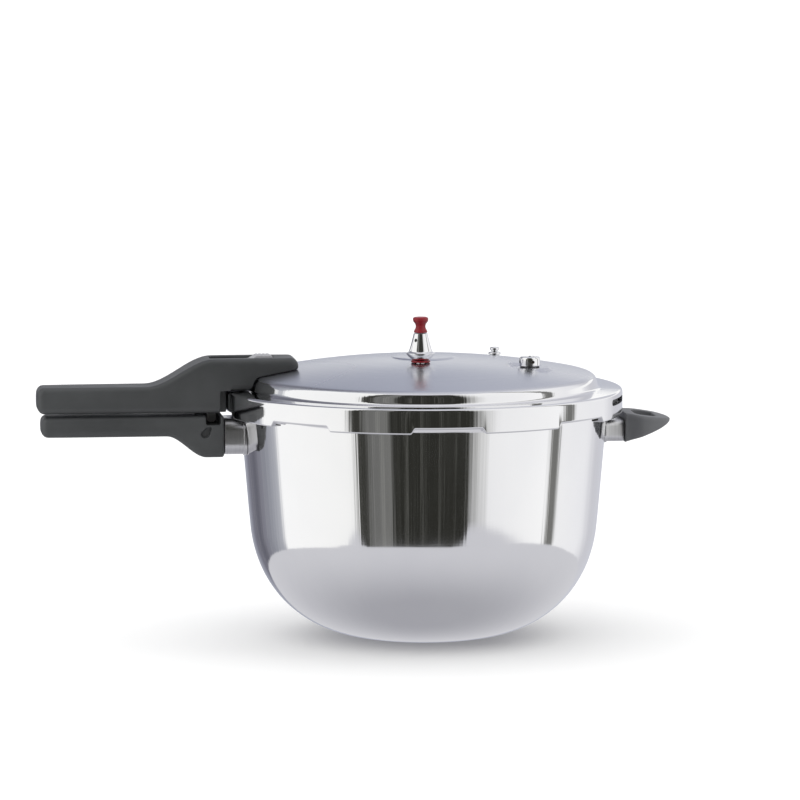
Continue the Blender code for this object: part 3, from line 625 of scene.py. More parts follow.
def lug_angles(half, slope, wide_steps, slope_steps):
    """Columns round the rim, closer together on the lugs' slopes."""
    gap = LUG_PITCH / 2 - half - slope
    offsets = [-half + 2 * half * i / wide_steps for i in range(wide_steps)]
    offsets += [half + slope * i / slope_steps for i in range(slope_steps)]
    offsets += [half + slope + 2 * gap * i / wide_steps for i in range(wide_steps)]
    offsets += [LUG_PITCH - half - slope + slope * i / slope_steps for i in range(slope_steps)]
    centres = [FIRST_LUG + LUG_PITCH * lug for lug in range(LUG_COUNT)]
    return [math.radians(centre + offset) for centre in centres for offset in offsets]


def wall_radius(z):
    share = (z - WALL_LOW_Z) / (RIM - 20.0 - WALL_LOW_Z)
    return WALL_LOW_RADIUS + (WALL_TOP_RADIUS - WALL_LOW_RADIUS) * share


def bottom_curve(inset, lift, steps):
    """The rounded bottom, from the wall to the flat base; inset and lifted for the inside."""
    across = WALL_LOW_RADIUS - BASE_RADIUS
    points = []
    for i in range(steps + 1):
        angle = math.radians(6.0 + 84.0 * i / steps)
        radius = BASE_RADIUS + across * math.cos(angle) ** (2 / BOTTOM_POWER)
        z = BOTTOM_CENTRE_Z * (1.0 - math.sin(angle) ** (2 / BOTTOM_POWER))
        points.append((radius - inset * math.cos(angle), z + lift * math.sin(angle)))
    return points


def pot_section(angle):
    lug = ease(on_lug(angle, POT_LUG_HALF, POT_LUG_SLOPE))
    flange = FLANGE_RADIUS + (POT_LUG_RADIUS - FLANGE_RADIUS) * lug
    rim = rounded([(FLANGE_INNER, FLANGE_TOP - 3.0), (FLANGE_INNER, FLANGE_TOP), (flange, FLANGE_TOP),
                   (flange, FLANGE_BOTTOM), (wall_radius(FLANGE_BOTTOM), FLANGE_BOTTOM),
                   (wall_radius(FLANGE_BOTTOM - 4.0), FLANGE_BOTTOM - 4.0)], [1.0, 1.0, 0.6, 0.2], 3)
    start = FLANGE_BOTTOM - 4.0
    drop = BOTTOM_CENTRE_Z - 9.0 - start
    heights = [start + drop * i / 10 for i in range(1, 10)]
    wall = [(wall_radius(z), z) for z in heights]
    centre = [(0.0, 0.0), (0.0, BASE_THICKNESS)]
    inside = bottom_curve(WALL, BASE_THICKNESS, 20)[::-1]
    return rim + wall + bottom_curve(0.0, 0.0, 44) + centre + inside


def make_pot_body():
    angles = lug_angles(POT_LUG_HALF, POT_LUG_SLOPE, 9, 3)
    made = to_object("pot_body_polished", revolve(pot_section, angles), [finish_of("polished")], 30.0)
    place(made, "pot", "polished_steel", "pot_body")


def sleeve_outline(u, low, high, half, side, flare=0.0):
    return rounded_ring(u, low - flare, high + flare, half + flare, 0.33 * (high - low) + flare, side, 10)


def make_flame_guard(name, node, side, outer, half, low, high):
    """A pressed sleeve with a rolled foot against the pot and a rolled front edge."""
    foot = WALL_LOW_RADIUS + 1.0
    wall = 1.2
    stations = [(foot - 5.0, 0.9), (foot + 4.2, 0.9), (foot + 5.0, 0.7), (foot + 5.3, 0.2),
                (foot + 5.8, 0.0), (outer - 0.9, 0.0), (outer - 0.35, -0.15), (outer, -0.6)]
    shell = loft([sleeve_outline(u, low, high, half, side, flare) for u, flare in stations])
    made = to_object(name, shell, [finish_of("sleeve")], 30.0)
    bore = loft([sleeve_outline(u, low + wall, high - wall, half - wall, side)
                 for u in (foot - 12.0, outer + 5.0)])
    shadow = [(0.0, RIM - 70.0), (wall_radius(RIM - 70.0) + 0.25, RIM - 70.0),
              (wall_radius(RIM - 10.0) + 0.25, RIM - 10.0), (0.0, RIM - 10.0)]
    carve(made, [bore, revolve(lambda angle: shadow, even_angles(180))])
    made.data.set_sharp_from_angle(angle=math.radians(30.0))
    place(made, "pot", "polished_steel", node)


def pot_handle_stations():
    stations = [(POT_HANDLE_ROOT, 1.2), (POT_HANDLE_ROOT + 0.5, 0.4), (POT_HANDLE_ROOT + 1.5, 0.0)]
    rings = [(u, POT_ROOT_BOTTOM + cut, POT_GRIP_TOP - cut, ROOT_HALF - cut) for u, cut in stations]
    taper_in = 163.0
    taper_length = 29.0
    rings.append((taper_in, POT_ROOT_BOTTOM, POT_GRIP_TOP, ROOT_HALF))
    for i in range(1, 17):
        t = i / 16
        low = POT_ROOT_BOTTOM + (POT_GRIP_BOTTOM - POT_ROOT_BOTTOM) * ease(t)
        half = ROOT_HALF + (GRIP_HALF + 1.0 - ROOT_HALF) * ease(t)
        rings.append((taper_in + taper_length * t, low, POT_GRIP_TOP, half))
    rings.append((POT_HANDLE_TIP - 20.0, POT_GRIP_BOTTOM, POT_GRIP_TOP, GRIP_HALF))
    corner = 5.0
    for i in range(1, 10):
        angle = math.pi / 2 * i / 9
        cut = corner * (1 - math.cos(angle))
        u = POT_HANDLE_TIP - corner + corner * math.sin(angle)
        rings.append((u, POT_GRIP_BOTTOM + cut * 0.9, POT_GRIP_TOP - cut * 0.9, GRIP_HALF - 0.6 - cut))
    return rings


def make_pot_handle():
    rings = [rounded_ring(u, low, high, half, 4.0) for u, low, high, half in pot_handle_stations()]
    made = to_object("pot_handle_grip", loft(rings), [finish_of("handle")])
    relief = [(159.0, BAY_FLOOR - 1.6), (163.0, BAY_FLOOR - 1.4), (167.5, BAY_FLOOR - 6.5),
              (165.5, BAY_FLOOR - 9.5), (161.5, BAY_FLOOR - 8.8)]
    carve(made, [
        box_mesh((-163.3, -30.0, BAY_FLOOR), (-BAY_IN, FOOT_HALF + 0.8, RIM)),
        box_mesh((-POCKET_OUT, -FOOT_HALF - 0.8, BAY_FLOOR), (-160.0, FOOT_HALF + 0.8, RIM)),
        box_mesh((-188.5, -9.4, POT_TONGUE_Z - 1.6), (-140.0, 9.4, POT_TONGUE_Z + 1.6)),
        loft([[Vector((-u, y, z)) for u, z in relief] for y in (-ROOT_HALF - 5.0, -ROOT_HALF + 4.0)]),
        cylinder_mesh(POT_SCREW_AT, SCREW_BORE, BELOW_HANDLES, POT_TONGUE_Z + 3.9),
        cylinder_mesh(POT_SCREW_AT, SCREW_HEAD_BORE, BELOW_HANDLES, POT_TONGUE_Z - 6.0),
    ])
    soften(made, 0.7, 5)
    place(made, "pot", "charcoal_phenolic", "pot_handle")


def helper_half(t):
    if t < 0.35:
        return 21.0 + (HELPER_HALF - 21.0) * ease(t / 0.35)
    return HELPER_HALF * math.sqrt(max(1.0 - ((t - 0.35) / 0.655) ** 2.4, 0.0))


def helper_heights(t):
    """Bottom and top of the helper handle's wedge, drawn together over its rounded tip."""
    top = HELPER_ROOT_TOP - HELPER_TOP_FALL * t
    bottom = HELPER_ROOT_BOTTOM + HELPER_BOTTOM_RISE * t
    past = max((t - 0.72) / 0.28, 0.0)
    shrink = 0.5 + 0.5 * math.sqrt(max(1.0 - past ** 2, 0.0))
    middle = (top + bottom) / 2
    half = (top - bottom) / 2 * shrink
    return middle - half, middle + half


def make_helper_handle():
    length = HELPER_TIP - HELPER_ROOT
    rings = []
    for i in range(41):
        t = 1.0 - (1.0 - i / 40) ** 1.6
        bottom, top = helper_heights(t)
        rings.append(rounded_ring(HELPER_ROOT + length * t, bottom, top, helper_half(t), 3.2, 1))
    made = to_object("helper_handle_grip", loft(rings), [finish_of("helper")])
    carve(made, [
        round_bar((FINGER_SLOT_IN, -FINGER_SLOT_HALF, BELOW_HANDLES),
                  (FINGER_SLOT_OUT, FINGER_SLOT_HALF, RIM), 6.5),
        box_mesh((140.0, -6.2, RIM - 34.6), (156.6, 6.2, RIM - 31.4)),
        cylinder_mesh(HELPER_SCREW_AT, 1.9, BELOW_HANDLES, RIM - 28.0),
        cylinder_mesh(HELPER_SCREW_AT, 3.5, BELOW_HANDLES, RIM - 37.4),
    ])
    soften(made, 0.6, 6)
    place(made, "pot", "charcoal_phenolic", "helper_handle")


# ---- lid -----------------------------------------------------------------------------------

def dome_z(radius):
    return DOME_TOP - DOME_RADIUS + math.sqrt(DOME_RADIUS ** 2 - radius ** 2)


def lid_section(angle):
    """The lid's closed section, with the skirt's lower edge set by the lugs."""
    lug = on_lug(angle, LID_LUG_HALF, LID_LUG_SLOPE)
    level = ease(lug)
    bottom = SKIRT_GAP_BOTTOM + (SKIRT_LUG_BOTTOM - SKIRT_GAP_BOTTOM) * level
    inner = SKIRT_RADIUS - SKIRT_WALL
    lip = inner - 0.6 + (LIP_RADIUS - inner + 0.6) * ease(2 * lug - 1)
    lip_top = SKIRT_GAP_BOTTOM + 1.2 - 2.0 * min(2 * lug, 1.0)
    edge = EMBLEM_RADIUS
    emblem = rounded([(0.0, DOME_TOP + EMBLEM_HEIGHT), (edge - 1.2, dome_z(edge) + EMBLEM_HEIGHT),
                      (edge + 0.2, dome_z(edge)), (edge + 3.0, dome_z(edge + 3.0))], [1.6, 1.2], 4)
    dome = [(radius, dome_z(radius)) for radius in DOME_ROWS]
    riser = rounded([(114.5, dome_z(114.5)), (127.4, dome_z(127.0)), (130.0, RIM + 0.6),
                     (140.0, RIM + 0.25)], [4.6, 2.4], 9)
    skirt = rounded([(140.5, RIM + 0.2), (SKIRT_RADIUS, RIM), (SKIRT_RADIUS, bottom),
                     (inner - 0.2, bottom)], [2.6, 2.2 - 0.9 * level], 7)
    inside = [(lip, bottom), (lip, lip_top), (inner, lip_top + 0.02), (inner, RIM - 3.2),
              (inner - 1.2, RIM - 2.0), (134.6, RIM - 1.7), (130.6, RIM - 1.2), (127.8, RIM + 1.8),
              (126.0, RIM + 6.2), (124.2, RIM + 7.8)]
    rows = (DOME_EDGE - 2.0, *DOME_ROWS[-3::-2], edge - 1.0)
    under = [(radius, dome_z(radius) - LID_WALL) for radius in rows]
    raised = EMBLEM_HEIGHT - LID_WALL
    under += [(edge - 2.6, dome_z(edge) + raised), (0.0, DOME_TOP + raised)]
    return emblem + dome + riser + skirt + inside + under


def lid_paint(index):
    """Satin on the dome and the emblem, polished from the riser outward."""
    return 0 if index < SATIN_ROWS else 1


def press_seat(mesh):
    """Flatten the dome round the safety valve into a level seat, blended into the dome at its edge."""
    level = dome_z(SAFETY_REACH) + SEAT_LIFT
    for vertex in mesh.vertices:
        x, y, z = vertex.co / MM
        away = math.hypot(x - SAFETY_AT[0], y - SAFETY_AT[1])
        reach = math.hypot(x, y)
        if away < SEAT_OUT and z > dome_z(reach) - LID_WALL - 0.5:
            share = 1.0 - ease((away - SEAT_FLAT) / (SEAT_OUT - SEAT_FLAT))
            vertex.co.z += (level - dome_z(reach)) * share * MM


def make_lid():
    angles = lug_angles(LID_LUG_HALF, LID_LUG_SLOPE, 14, 5)
    made = to_object("lid_domed_steel", revolve(lid_section, angles, paint=lid_paint),
                     [finish_of("satin"), finish_of("polished")], 30.0)
    along = Vector((-math.sin(WINDOW_ANGLE), math.cos(WINDOW_ANGLE), 0.0))
    out = Vector((math.cos(WINDOW_ANGLE), math.sin(WINDOW_ANGLE), 0.0))
    corner = WINDOW_SIZE[1] / 2
    middle = Vector((0.0, 0.0, WINDOW_BOTTOM + corner))
    rings = []
    for reach in (SKIRT_RADIUS - 5.2, SKIRT_RADIUS + 6.0):
        ring = []
        for step in range(24):
            spin = 2 * math.pi * step / 24
            end = math.copysign(WINDOW_SIZE[0] / 2 - corner, math.cos(spin))
            ring.append(middle + out * reach + along * (end + corner * math.cos(spin))
                        + Vector((0.0, 0.0, corner * math.sin(spin))))
        rings.append(ring)
    press_seat(made.data)
    holes = [cylinder_mesh(at, radius, RIM, RIM + 40.0) for at, radius in
             ((REGULATOR_AT, 3.9), (SAFETY_AT, 5.4), (FLOAT_AT, 4.0))]
    carve(made, [loft(rings)] + holes)
    made.data.set_sharp_from_angle(angle=math.radians(30.0))
    place(made, "lid", "satin_steel", "lid")


def make_gasket():
    corners = [(132.5, RIM - 9.5), (132.0, RIM - 6.0), (136.0, RIM - 4.5), (136.0, RIM - 2.4),
               (143.4, RIM - 2.6), (144.4, RIM - 4.0), (144.4, RIM - 8.6), (143.4, RIM - 9.5)]
    profile = closed_profile(corners, 0.8)
    made = turned("sealing_gasket_ring", profile, (0.0, 0.0), [finish_of("rubber")], 180)
    place(made, "lid", "grey_rubber", "sealing_gasket")


def lid_handle_stations():
    nose = LID_HANDLE_NOSE
    low = RIM + 0.9
    taper_in = 157.0
    taper_length = 50.0
    rings = []
    for i in range(9):
        t = i / 8
        cut = 1 - math.sin(math.pi / 2 * t)
        bottom = RIM + 17.0 - 4.5 * t
        rings.append((nose - 2.4 + 5.4 * (1 - math.cos(math.pi / 2 * t)), bottom, LID_NOSE_TOP - 5.8 * cut,
                      17.0 - 3.8 * cut))
    rings += [(nose + 14.0, RIM + 6.5, LID_NOSE_TOP, 18.0),
              (nose + 29.0, low, LID_NOSE_TOP, ROOT_HALF),
              (WEB_IN, low, LID_NOSE_TOP, ROOT_HALF),
              (WEB_IN + 0.02, LID_GRIP_BOTTOM, LID_NOSE_TOP, ROOT_HALF),
              (taper_in, LID_GRIP_BOTTOM, LID_NOSE_TOP, ROOT_HALF)]
    for i in range(1, 25):
        t = i / 24
        top = LID_NOSE_TOP + (LID_GRIP_TOP - LID_NOSE_TOP) * ease(t)
        half = ROOT_HALF + (GRIP_HALF + 1.0 - ROOT_HALF) * ease(t)
        rings.append((taper_in + taper_length * t, LID_GRIP_BOTTOM, top, half))
    tip = LID_HANDLE_TIP
    corner = 5.5
    rings.append((tip - 20.0, LID_GRIP_BOTTOM, LID_GRIP_TOP, GRIP_HALF))
    for i in range(1, 10):
        angle = math.pi / 2 * i / 9
        cut = corner * (1 - math.cos(angle))
        rings.append((tip - corner + corner * math.sin(angle), LID_GRIP_BOTTOM + cut,
                      LID_GRIP_TOP - cut, GRIP_HALF - 0.6 - cut))
    return rings


def lid_shadow(grow):
    """The lid's outer surface grown by a gap, to trim the handle that sits on it."""
    low = LID_GRIP_BOTTOM - 5.0
    section = [(0.0, low), (SKIRT_RADIUS + grow, low), (SKIRT_RADIUS + grow, RIM + 0.3 + grow),
               (135.4 + grow, RIM + 0.3 + grow), (132.2 + grow, RIM + 0.9 + grow),
               (130.0 + grow, RIM + 2.8 + grow), (128.6 + grow, RIM + 7.1 + grow),
               (126.8 + grow, RIM + 9.6 + grow)]
    section += [(radius, dome_z(radius) + grow) for radius in (DOME_EDGE, 110.0, 95.0, 80.0, 55.0)]
    section += [(0.0, RIM + 20.5)]
    return revolve(lambda angle: section, even_angles(180))


def make_lid_handle():
    rings = [rounded_ring(u, low, high, half, 4.5) for u, low, high, half in lid_handle_stations()]
    made = to_object("lid_handle_grip", loft(rings), [finish_of("handle")])
    recess_end = SLIDER_OUT + SLIDER_TRAVEL + 10.5
    recess_half = SLIDER_HALF + 0.4
    slot_out = FOOT_OUT + SLIDER_TRAVEL + 0.7
    slot_half = FOOT_HALF + 0.6
    carve(made, [
        lid_shadow(0.5),
        box_mesh((-NEAR_SIDE_IN, -ROOT_HALF - 5.0, LID_GRIP_BOTTOM - 5.0),
                 (-WEB_IN + 5.0, NEAR_SIDE_Y, RIM + 1.0)),
        round_bar((-recess_end, -recess_half, RECESS_FLOOR),
                  (-SLIDER_IN + 0.7, recess_half, RIM + 60.0), 2.0),
        box_mesh((-slot_out, -slot_half, BAR_BOTTOM - 0.5),
                 (-SLIDER_IN - 5.0, slot_half, RECESS_FLOOR + 0.5)),
        box_mesh((-slot_out, -slot_half, RIM - 40.0), (-FOOT_IN + 0.6, slot_half, BAR_BOTTOM)),
        box_mesh((-186.5, -10.9, RIM + 0.2), (-135.0, 10.9, RIM + 4.0)),
        cylinder_mesh(LID_SCREW_AT, SCREW_BORE, BELOW_HANDLES, RIM + 8.0),
        cylinder_mesh(LID_SCREW_AT, SCREW_HEAD_BORE, BELOW_HANDLES, RIM - 7.4),
    ])
    soften(made, 0.7, 5)
    place(made, "lid", "charcoal_phenolic", "lid_handle_shell")


def make_slider():
    """The thumb slider: a smooth pad with faint ridges, in the handle's recess."""
    floor = RECESS_FLOOR + GAP
    bump_out = SLIDER_IN + 13.0
    top = LID_NOSE_TOP + 1.5
    groove = 0.35
    outline = [(SLIDER_IN, floor), (SLIDER_OUT, floor), (SLIDER_OUT, floor + 2.4),
               (bump_out + 4.0, floor + 3.0), (bump_out, top - 0.9)]
    for ridge in range(4):
        start = bump_out - 1.2 - ridge * 2.7
        outline += [(start, top), (start - 1.7, top), (start - 2.0, top - groove),
                    (start - 2.4, top - groove)]
    outline = outline[:-2] + [(SLIDER_IN, top - 1.2)]
    rings = [[Vector((-u, y, z)) for u, z in outline] for y in (-SLIDER_HALF, SLIDER_HALF)]
    made = to_object("slider_thumb_pad", loft(rings), [finish_of("slider")])
    bevel = made.modifiers.new("bevel", "BEVEL")
    bevel.width = 0.3 * MM
    bevel.segments = 2
    bevel.limit_method = "ANGLE"
    bake(made)
    made.data.set_sharp_from_angle(angle=math.radians(50.0))
    place(made, "slider", "silver_plastic", "slider_button")


# ---- valves --------------------------------------------------------------------------------

def make_vent():
    x, y = REGULATOR_AT
    seat = dome_z(math.hypot(x, y)) + 0.5
    gasket = closed_profile([(4.1, seat), (7.1, seat), (7.2, seat + 0.7), (6.6, seat + 1.5),
                             (4.1, seat + 1.5)], 0.35)
    made = turned("vent_gasket_ring", gasket, REGULATOR_AT, [finish_of("red")], 64)
    place(made, "lid", "red_silicone", "vent_pipe_gasket")


def make_regulator():
    """The chrome weight with its side hole, and the red knob on top."""
    seat = dome_z(math.hypot(*REGULATOR_AT))
    top = seat + 21.9
    outside = rounded([(4.4, seat + 4.6), (4.4, seat + 2.3), (6.2, seat + 2.3), (9.0, seat + 4.6),
                       (10.5, seat + 6.6), (10.8, seat + 7.5), (8.6, seat + 8.4), (6.9, seat + 14.0),
                       (5.2, top - 0.7), (5.2, top - 0.1), (2.5, top)],
                      [0.3, 0.5, 1.5, 0.8, 0.4, 0.7, 4.0, 0.4, 0.3], 5)
    bore = [(0.0, top), (0.0, seat + 18.5), (3.4, seat + 17.0), (3.6, seat + 4.9)]
    made = turned("regulator_weight_chrome", outside + bore, REGULATOR_AT, [finish_of("chrome")], 96, 30.0)
    out = Vector((-0.66, -0.75, 0.0)).normalized()
    carve(made, [round_hole(Vector((*REGULATOR_AT, seat + 17.0)), out, 1.3, 4.4, 9.0)])
    made.data.set_sharp_from_angle(angle=math.radians(30.0))
    place(made, "regulator", "bright_chrome", "regulator_weight")
    foot = top + 0.4
    knob = rounded([(0.0, foot), (4.9, foot), (5.0, foot + 1.1), (3.6, foot + 3.6), (3.6, foot + 5.9),
                    (5.6, foot + 8.6), (5.7, foot + 10.8), (4.6, foot + 11.5), (0.0, foot + 11.5)],
                   [0.5, 0.7, 1.4, 1.4, 0.8, 0.8, 0.6], 5)
    made = turned("regulator_knob_red", knob, REGULATOR_AT, [finish_of("red")], 64)
    place(made, "regulator", "red_silicone", "regulator_knob")


def make_safety_valve():
    """The relief valve's chrome body with four side ports."""
    seat = dome_z(SAFETY_REACH) + SEAT_LIFT + GAP
    foot = seat + 0.8
    low = seat - 4.6
    body = [(2.2, low - 5.0), (5.0, low - 5.0), (5.0, foot), (7.8, foot), (7.8, foot + 5.4),
            (7.0, foot + 6.6), (3.4, foot + 6.9), (3.0, foot + 6.6), (3.0, foot + 5.6),
            (5.0, foot + 5.6), (5.0, foot + 1.2), (2.2, foot + 0.6)]
    profile = closed_profile(body, 0.35)
    made = turned("safety_valve_chrome", profile, SAFETY_AT, [finish_of("chrome")], 72, 30.0)
    middle = Vector((*SAFETY_AT, foot + 3.2))
    ways = [Vector((math.cos(angle), math.sin(angle), 0.0)) for angle in VALVE_PORT_ANGLES]
    carve(made, [round_hole(middle, way, 1.1, 3.6, 10.0) for way in ways])
    made.data.set_sharp_from_angle(angle=math.radians(30.0))
    place(made, "lid", "bright_chrome", "safety_valve_body")


def make_float():
    """The pressure indicator's bush and its small mushroom-headed pin."""
    seat = dome_z(math.hypot(*FLOAT_AT)) + 0.9
    under = seat - 4.3
    bush = closed_profile([(2.1, under - 7.0), (3.7, under - 7.0), (3.7, seat), (4.8, seat),
                           (4.8, seat + 0.8), (4.2, seat + 1.4), (2.1, seat + 1.4)], 0.2)
    made = turned("float_bush_chrome", bush, FLOAT_AT, [finish_of("chrome")], 48, 30.0)
    place(made, "lid", "bright_chrome", "float_bush")
    low = under - 12.3
    pin = round_profile([(0.0, low - 1.2), (3.4, low - 1.2), (3.4, low), (1.7, low + 0.1),
                         (1.7, seat + 1.8), (2.6, seat + 1.8), (2.6, seat + 2.8), (3.6, seat + 3.2),
                         (3.6, seat + 4.6), (2.8, seat + 5.2), (0.0, seat + 5.3)], 0.25)
    made = turned("float_pin_chrome", pin, FLOAT_AT, [finish_of("chrome")], 48, 30.0)
    place(made, "pressure_float", "bright_chrome", "float_pin")


KEPT_NODES = {
    "stamped": ("pot_handle_bracket", "pot_handle_screw", "helper_handle_bracket", "helper_handle_screw",
                "lid_handle_bracket", "lid_handle_screw", "vent_pipe_nut", "vent_strainer",
                "safety_valve_nut", "safety_valve_spring", "float_nut", "lock_bar"),
    "chrome": ("vent_pipe",),
    "rubber": ("float_seal", "safety_valve_gasket"),
    "brass": ("regulator_needle", "safety_valve_poppet"),
}


def dress_nodes():
    """Give the CAD nodes that stay their own finish."""
    for finish, nodes in KEPT_NODES.items():
        for name in nodes:
            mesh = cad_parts[name].data
            mesh.materials.clear()
            mesh.materials.append(finish_of(finish))


# ---- stage ---------------------------------------------------------------------------------

def view_axes():
    """Unit vectors to the right of the view and towards the camera."""
    right = Vector((math.cos(VIEW_AZIMUTH), math.sin(VIEW_AZIMUTH), 0.0))
    toward = Vector((math.sin(VIEW_AZIMUTH), -math.cos(VIEW_AZIMUTH), 0.0))
    return right, toward


def make_camera(distance, lens):
    right, toward = view_axes()
    back = toward * math.cos(VIEW_RISE) + Vector((0.0, 0.0, math.sin(VIEW_RISE)))
    up = Vector((0.0, 0.0, math.cos(VIEW_RISE))) - toward * math.sin(VIEW_RISE)
    aim = Vector((0.0, 0.0, RIM * MM)) - right * 0.0174 - up * 0.0096
    data = bpy.data.cameras.new("camera")
    data.lens = lens
    data.sensor_width = 36.0
    data.clip_end = 200.0
    camera = bpy.data.objects.new("camera", data)
    bpy.context.scene.collection.objects.link(camera)
    camera.location = aim + back * distance
    camera.rotation_euler = (-back).to_track_quat("-Z", "Y").to_euler()
    bpy.context.scene.camera = camera


def make_floor(radius):
    bm = bmesh.new()
    bmesh.ops.create_circle(bm, cap_ends=True, radius=radius / MM, segments=96)
    shade = bpy.data.materials.new("floor_paint")
    shade.use_nodes = True
    shader = shade.node_tree.nodes["Principled BSDF"]
    shader.inputs["Base Color"].default_value = (0.96, 0.96, 0.96, 1.0)
    shader.inputs["Roughness"].default_value = 0.9
    shader.inputs["Specular IOR Level"].default_value = 0.0
    floor = to_object("floor", bm, [shade])
    floor.location.z = -0.0004
    floor.visible_glossy = False


def add_sun(name, strength, width, azimuth, rise):
    """A very wide, soft light from one side; azimuth is from the camera towards its right."""
    right, toward = view_axes()
    way = toward * math.cos(azimuth) + right * math.sin(azimuth)
    way = way * math.cos(rise) + Vector((0.0, 0.0, math.sin(rise)))
    data = bpy.data.lights.new(name, "SUN")
    data.energy = strength
    data.angle = width
    lamp = bpy.data.objects.new(name, data)
    bpy.context.scene.collection.objects.link(lamp)
    lamp.rotation_euler = way.to_track_quat("Z", "Y").to_euler()
    lamp.visible_glossy = False


# The studio that the metal reflects: brightness and tint by degrees round from the camera, positive to
# its right, for what stands above the table's edge.
ROOM = (
    (-180.0, (0.46, 0.48, 0.56)),
    (-165.0, (0.33, 0.34, 0.40)),
    (-154.0, (0.18, 0.18, 0.22)),
    (-140.0, (0.13, 0.13, 0.16)),
    (-134.0, (0.22, 0.22, 0.26)),
    (-122.0, (0.29, 0.30, 0.34)),
    (-110.0, (0.46, 0.47, 0.51)),
    (-106.0, (1.08, 1.08, 1.07)),
    (-48.0, (1.02, 1.02, 1.00)),
    (-44.5, (0.90, 0.90, 0.88)),
    (-43.0, (0.035, 0.035, 0.030)),
    (-37.0, (0.045, 0.045, 0.040)),
    (-34.0, (0.15, 0.15, 0.145)),
    (-21.0, (0.19, 0.19, 0.18)),
    (-19.0, (0.026, 0.026, 0.022)),
    (29.0, (0.026, 0.026, 0.022)),
    (31.0, (0.34, 0.34, 0.33)),
    (36.0, (0.66, 0.66, 0.65)),
    (44.0, (0.95, 0.95, 0.95)),
    (88.0, (1.06, 1.06, 1.05)),
    (89.5, (0.19, 0.19, 0.18)),
    (96.0, (0.19, 0.19, 0.18)),
    (98.5, (0.98, 0.98, 0.98)),
    (128.0, (0.92, 0.92, 0.94)),
    (145.0, (0.64, 0.64, 0.68)),
    (168.0, (0.62, 0.63, 0.69)),
    (180.0, (0.46, 0.48, 0.56)),
)
# Degrees below level where the table starts, all round: nearer under the right-hand panel.
TABLE_EDGE = (
    (-180.0, -19.5), (-62.0, -19.5), (-52.0, -18.4), (-45.0, -17.6), (-42.5, -18.6), (-38.0, -19.7),
    (18.0, -19.9), (26.0, -19.2), (30.0, -17.7), (36.0, -17.4), (92.0, -17.4), (104.0, -18.4),
    (118.0, -19.5), (180.0, -19.5),
)
EDGE_SPAN = 40.0
TABLE_FAR = (0.66, 0.66, 0.69)
TABLE_NEAR = (0.42, 0.42, 0.45)
CEILING = (0.80, 0.80, 0.84)
BACK_STRIP = (1.05, 1.05, 1.04)       # a low white strip behind the cooker, seen in the lid's flat rim


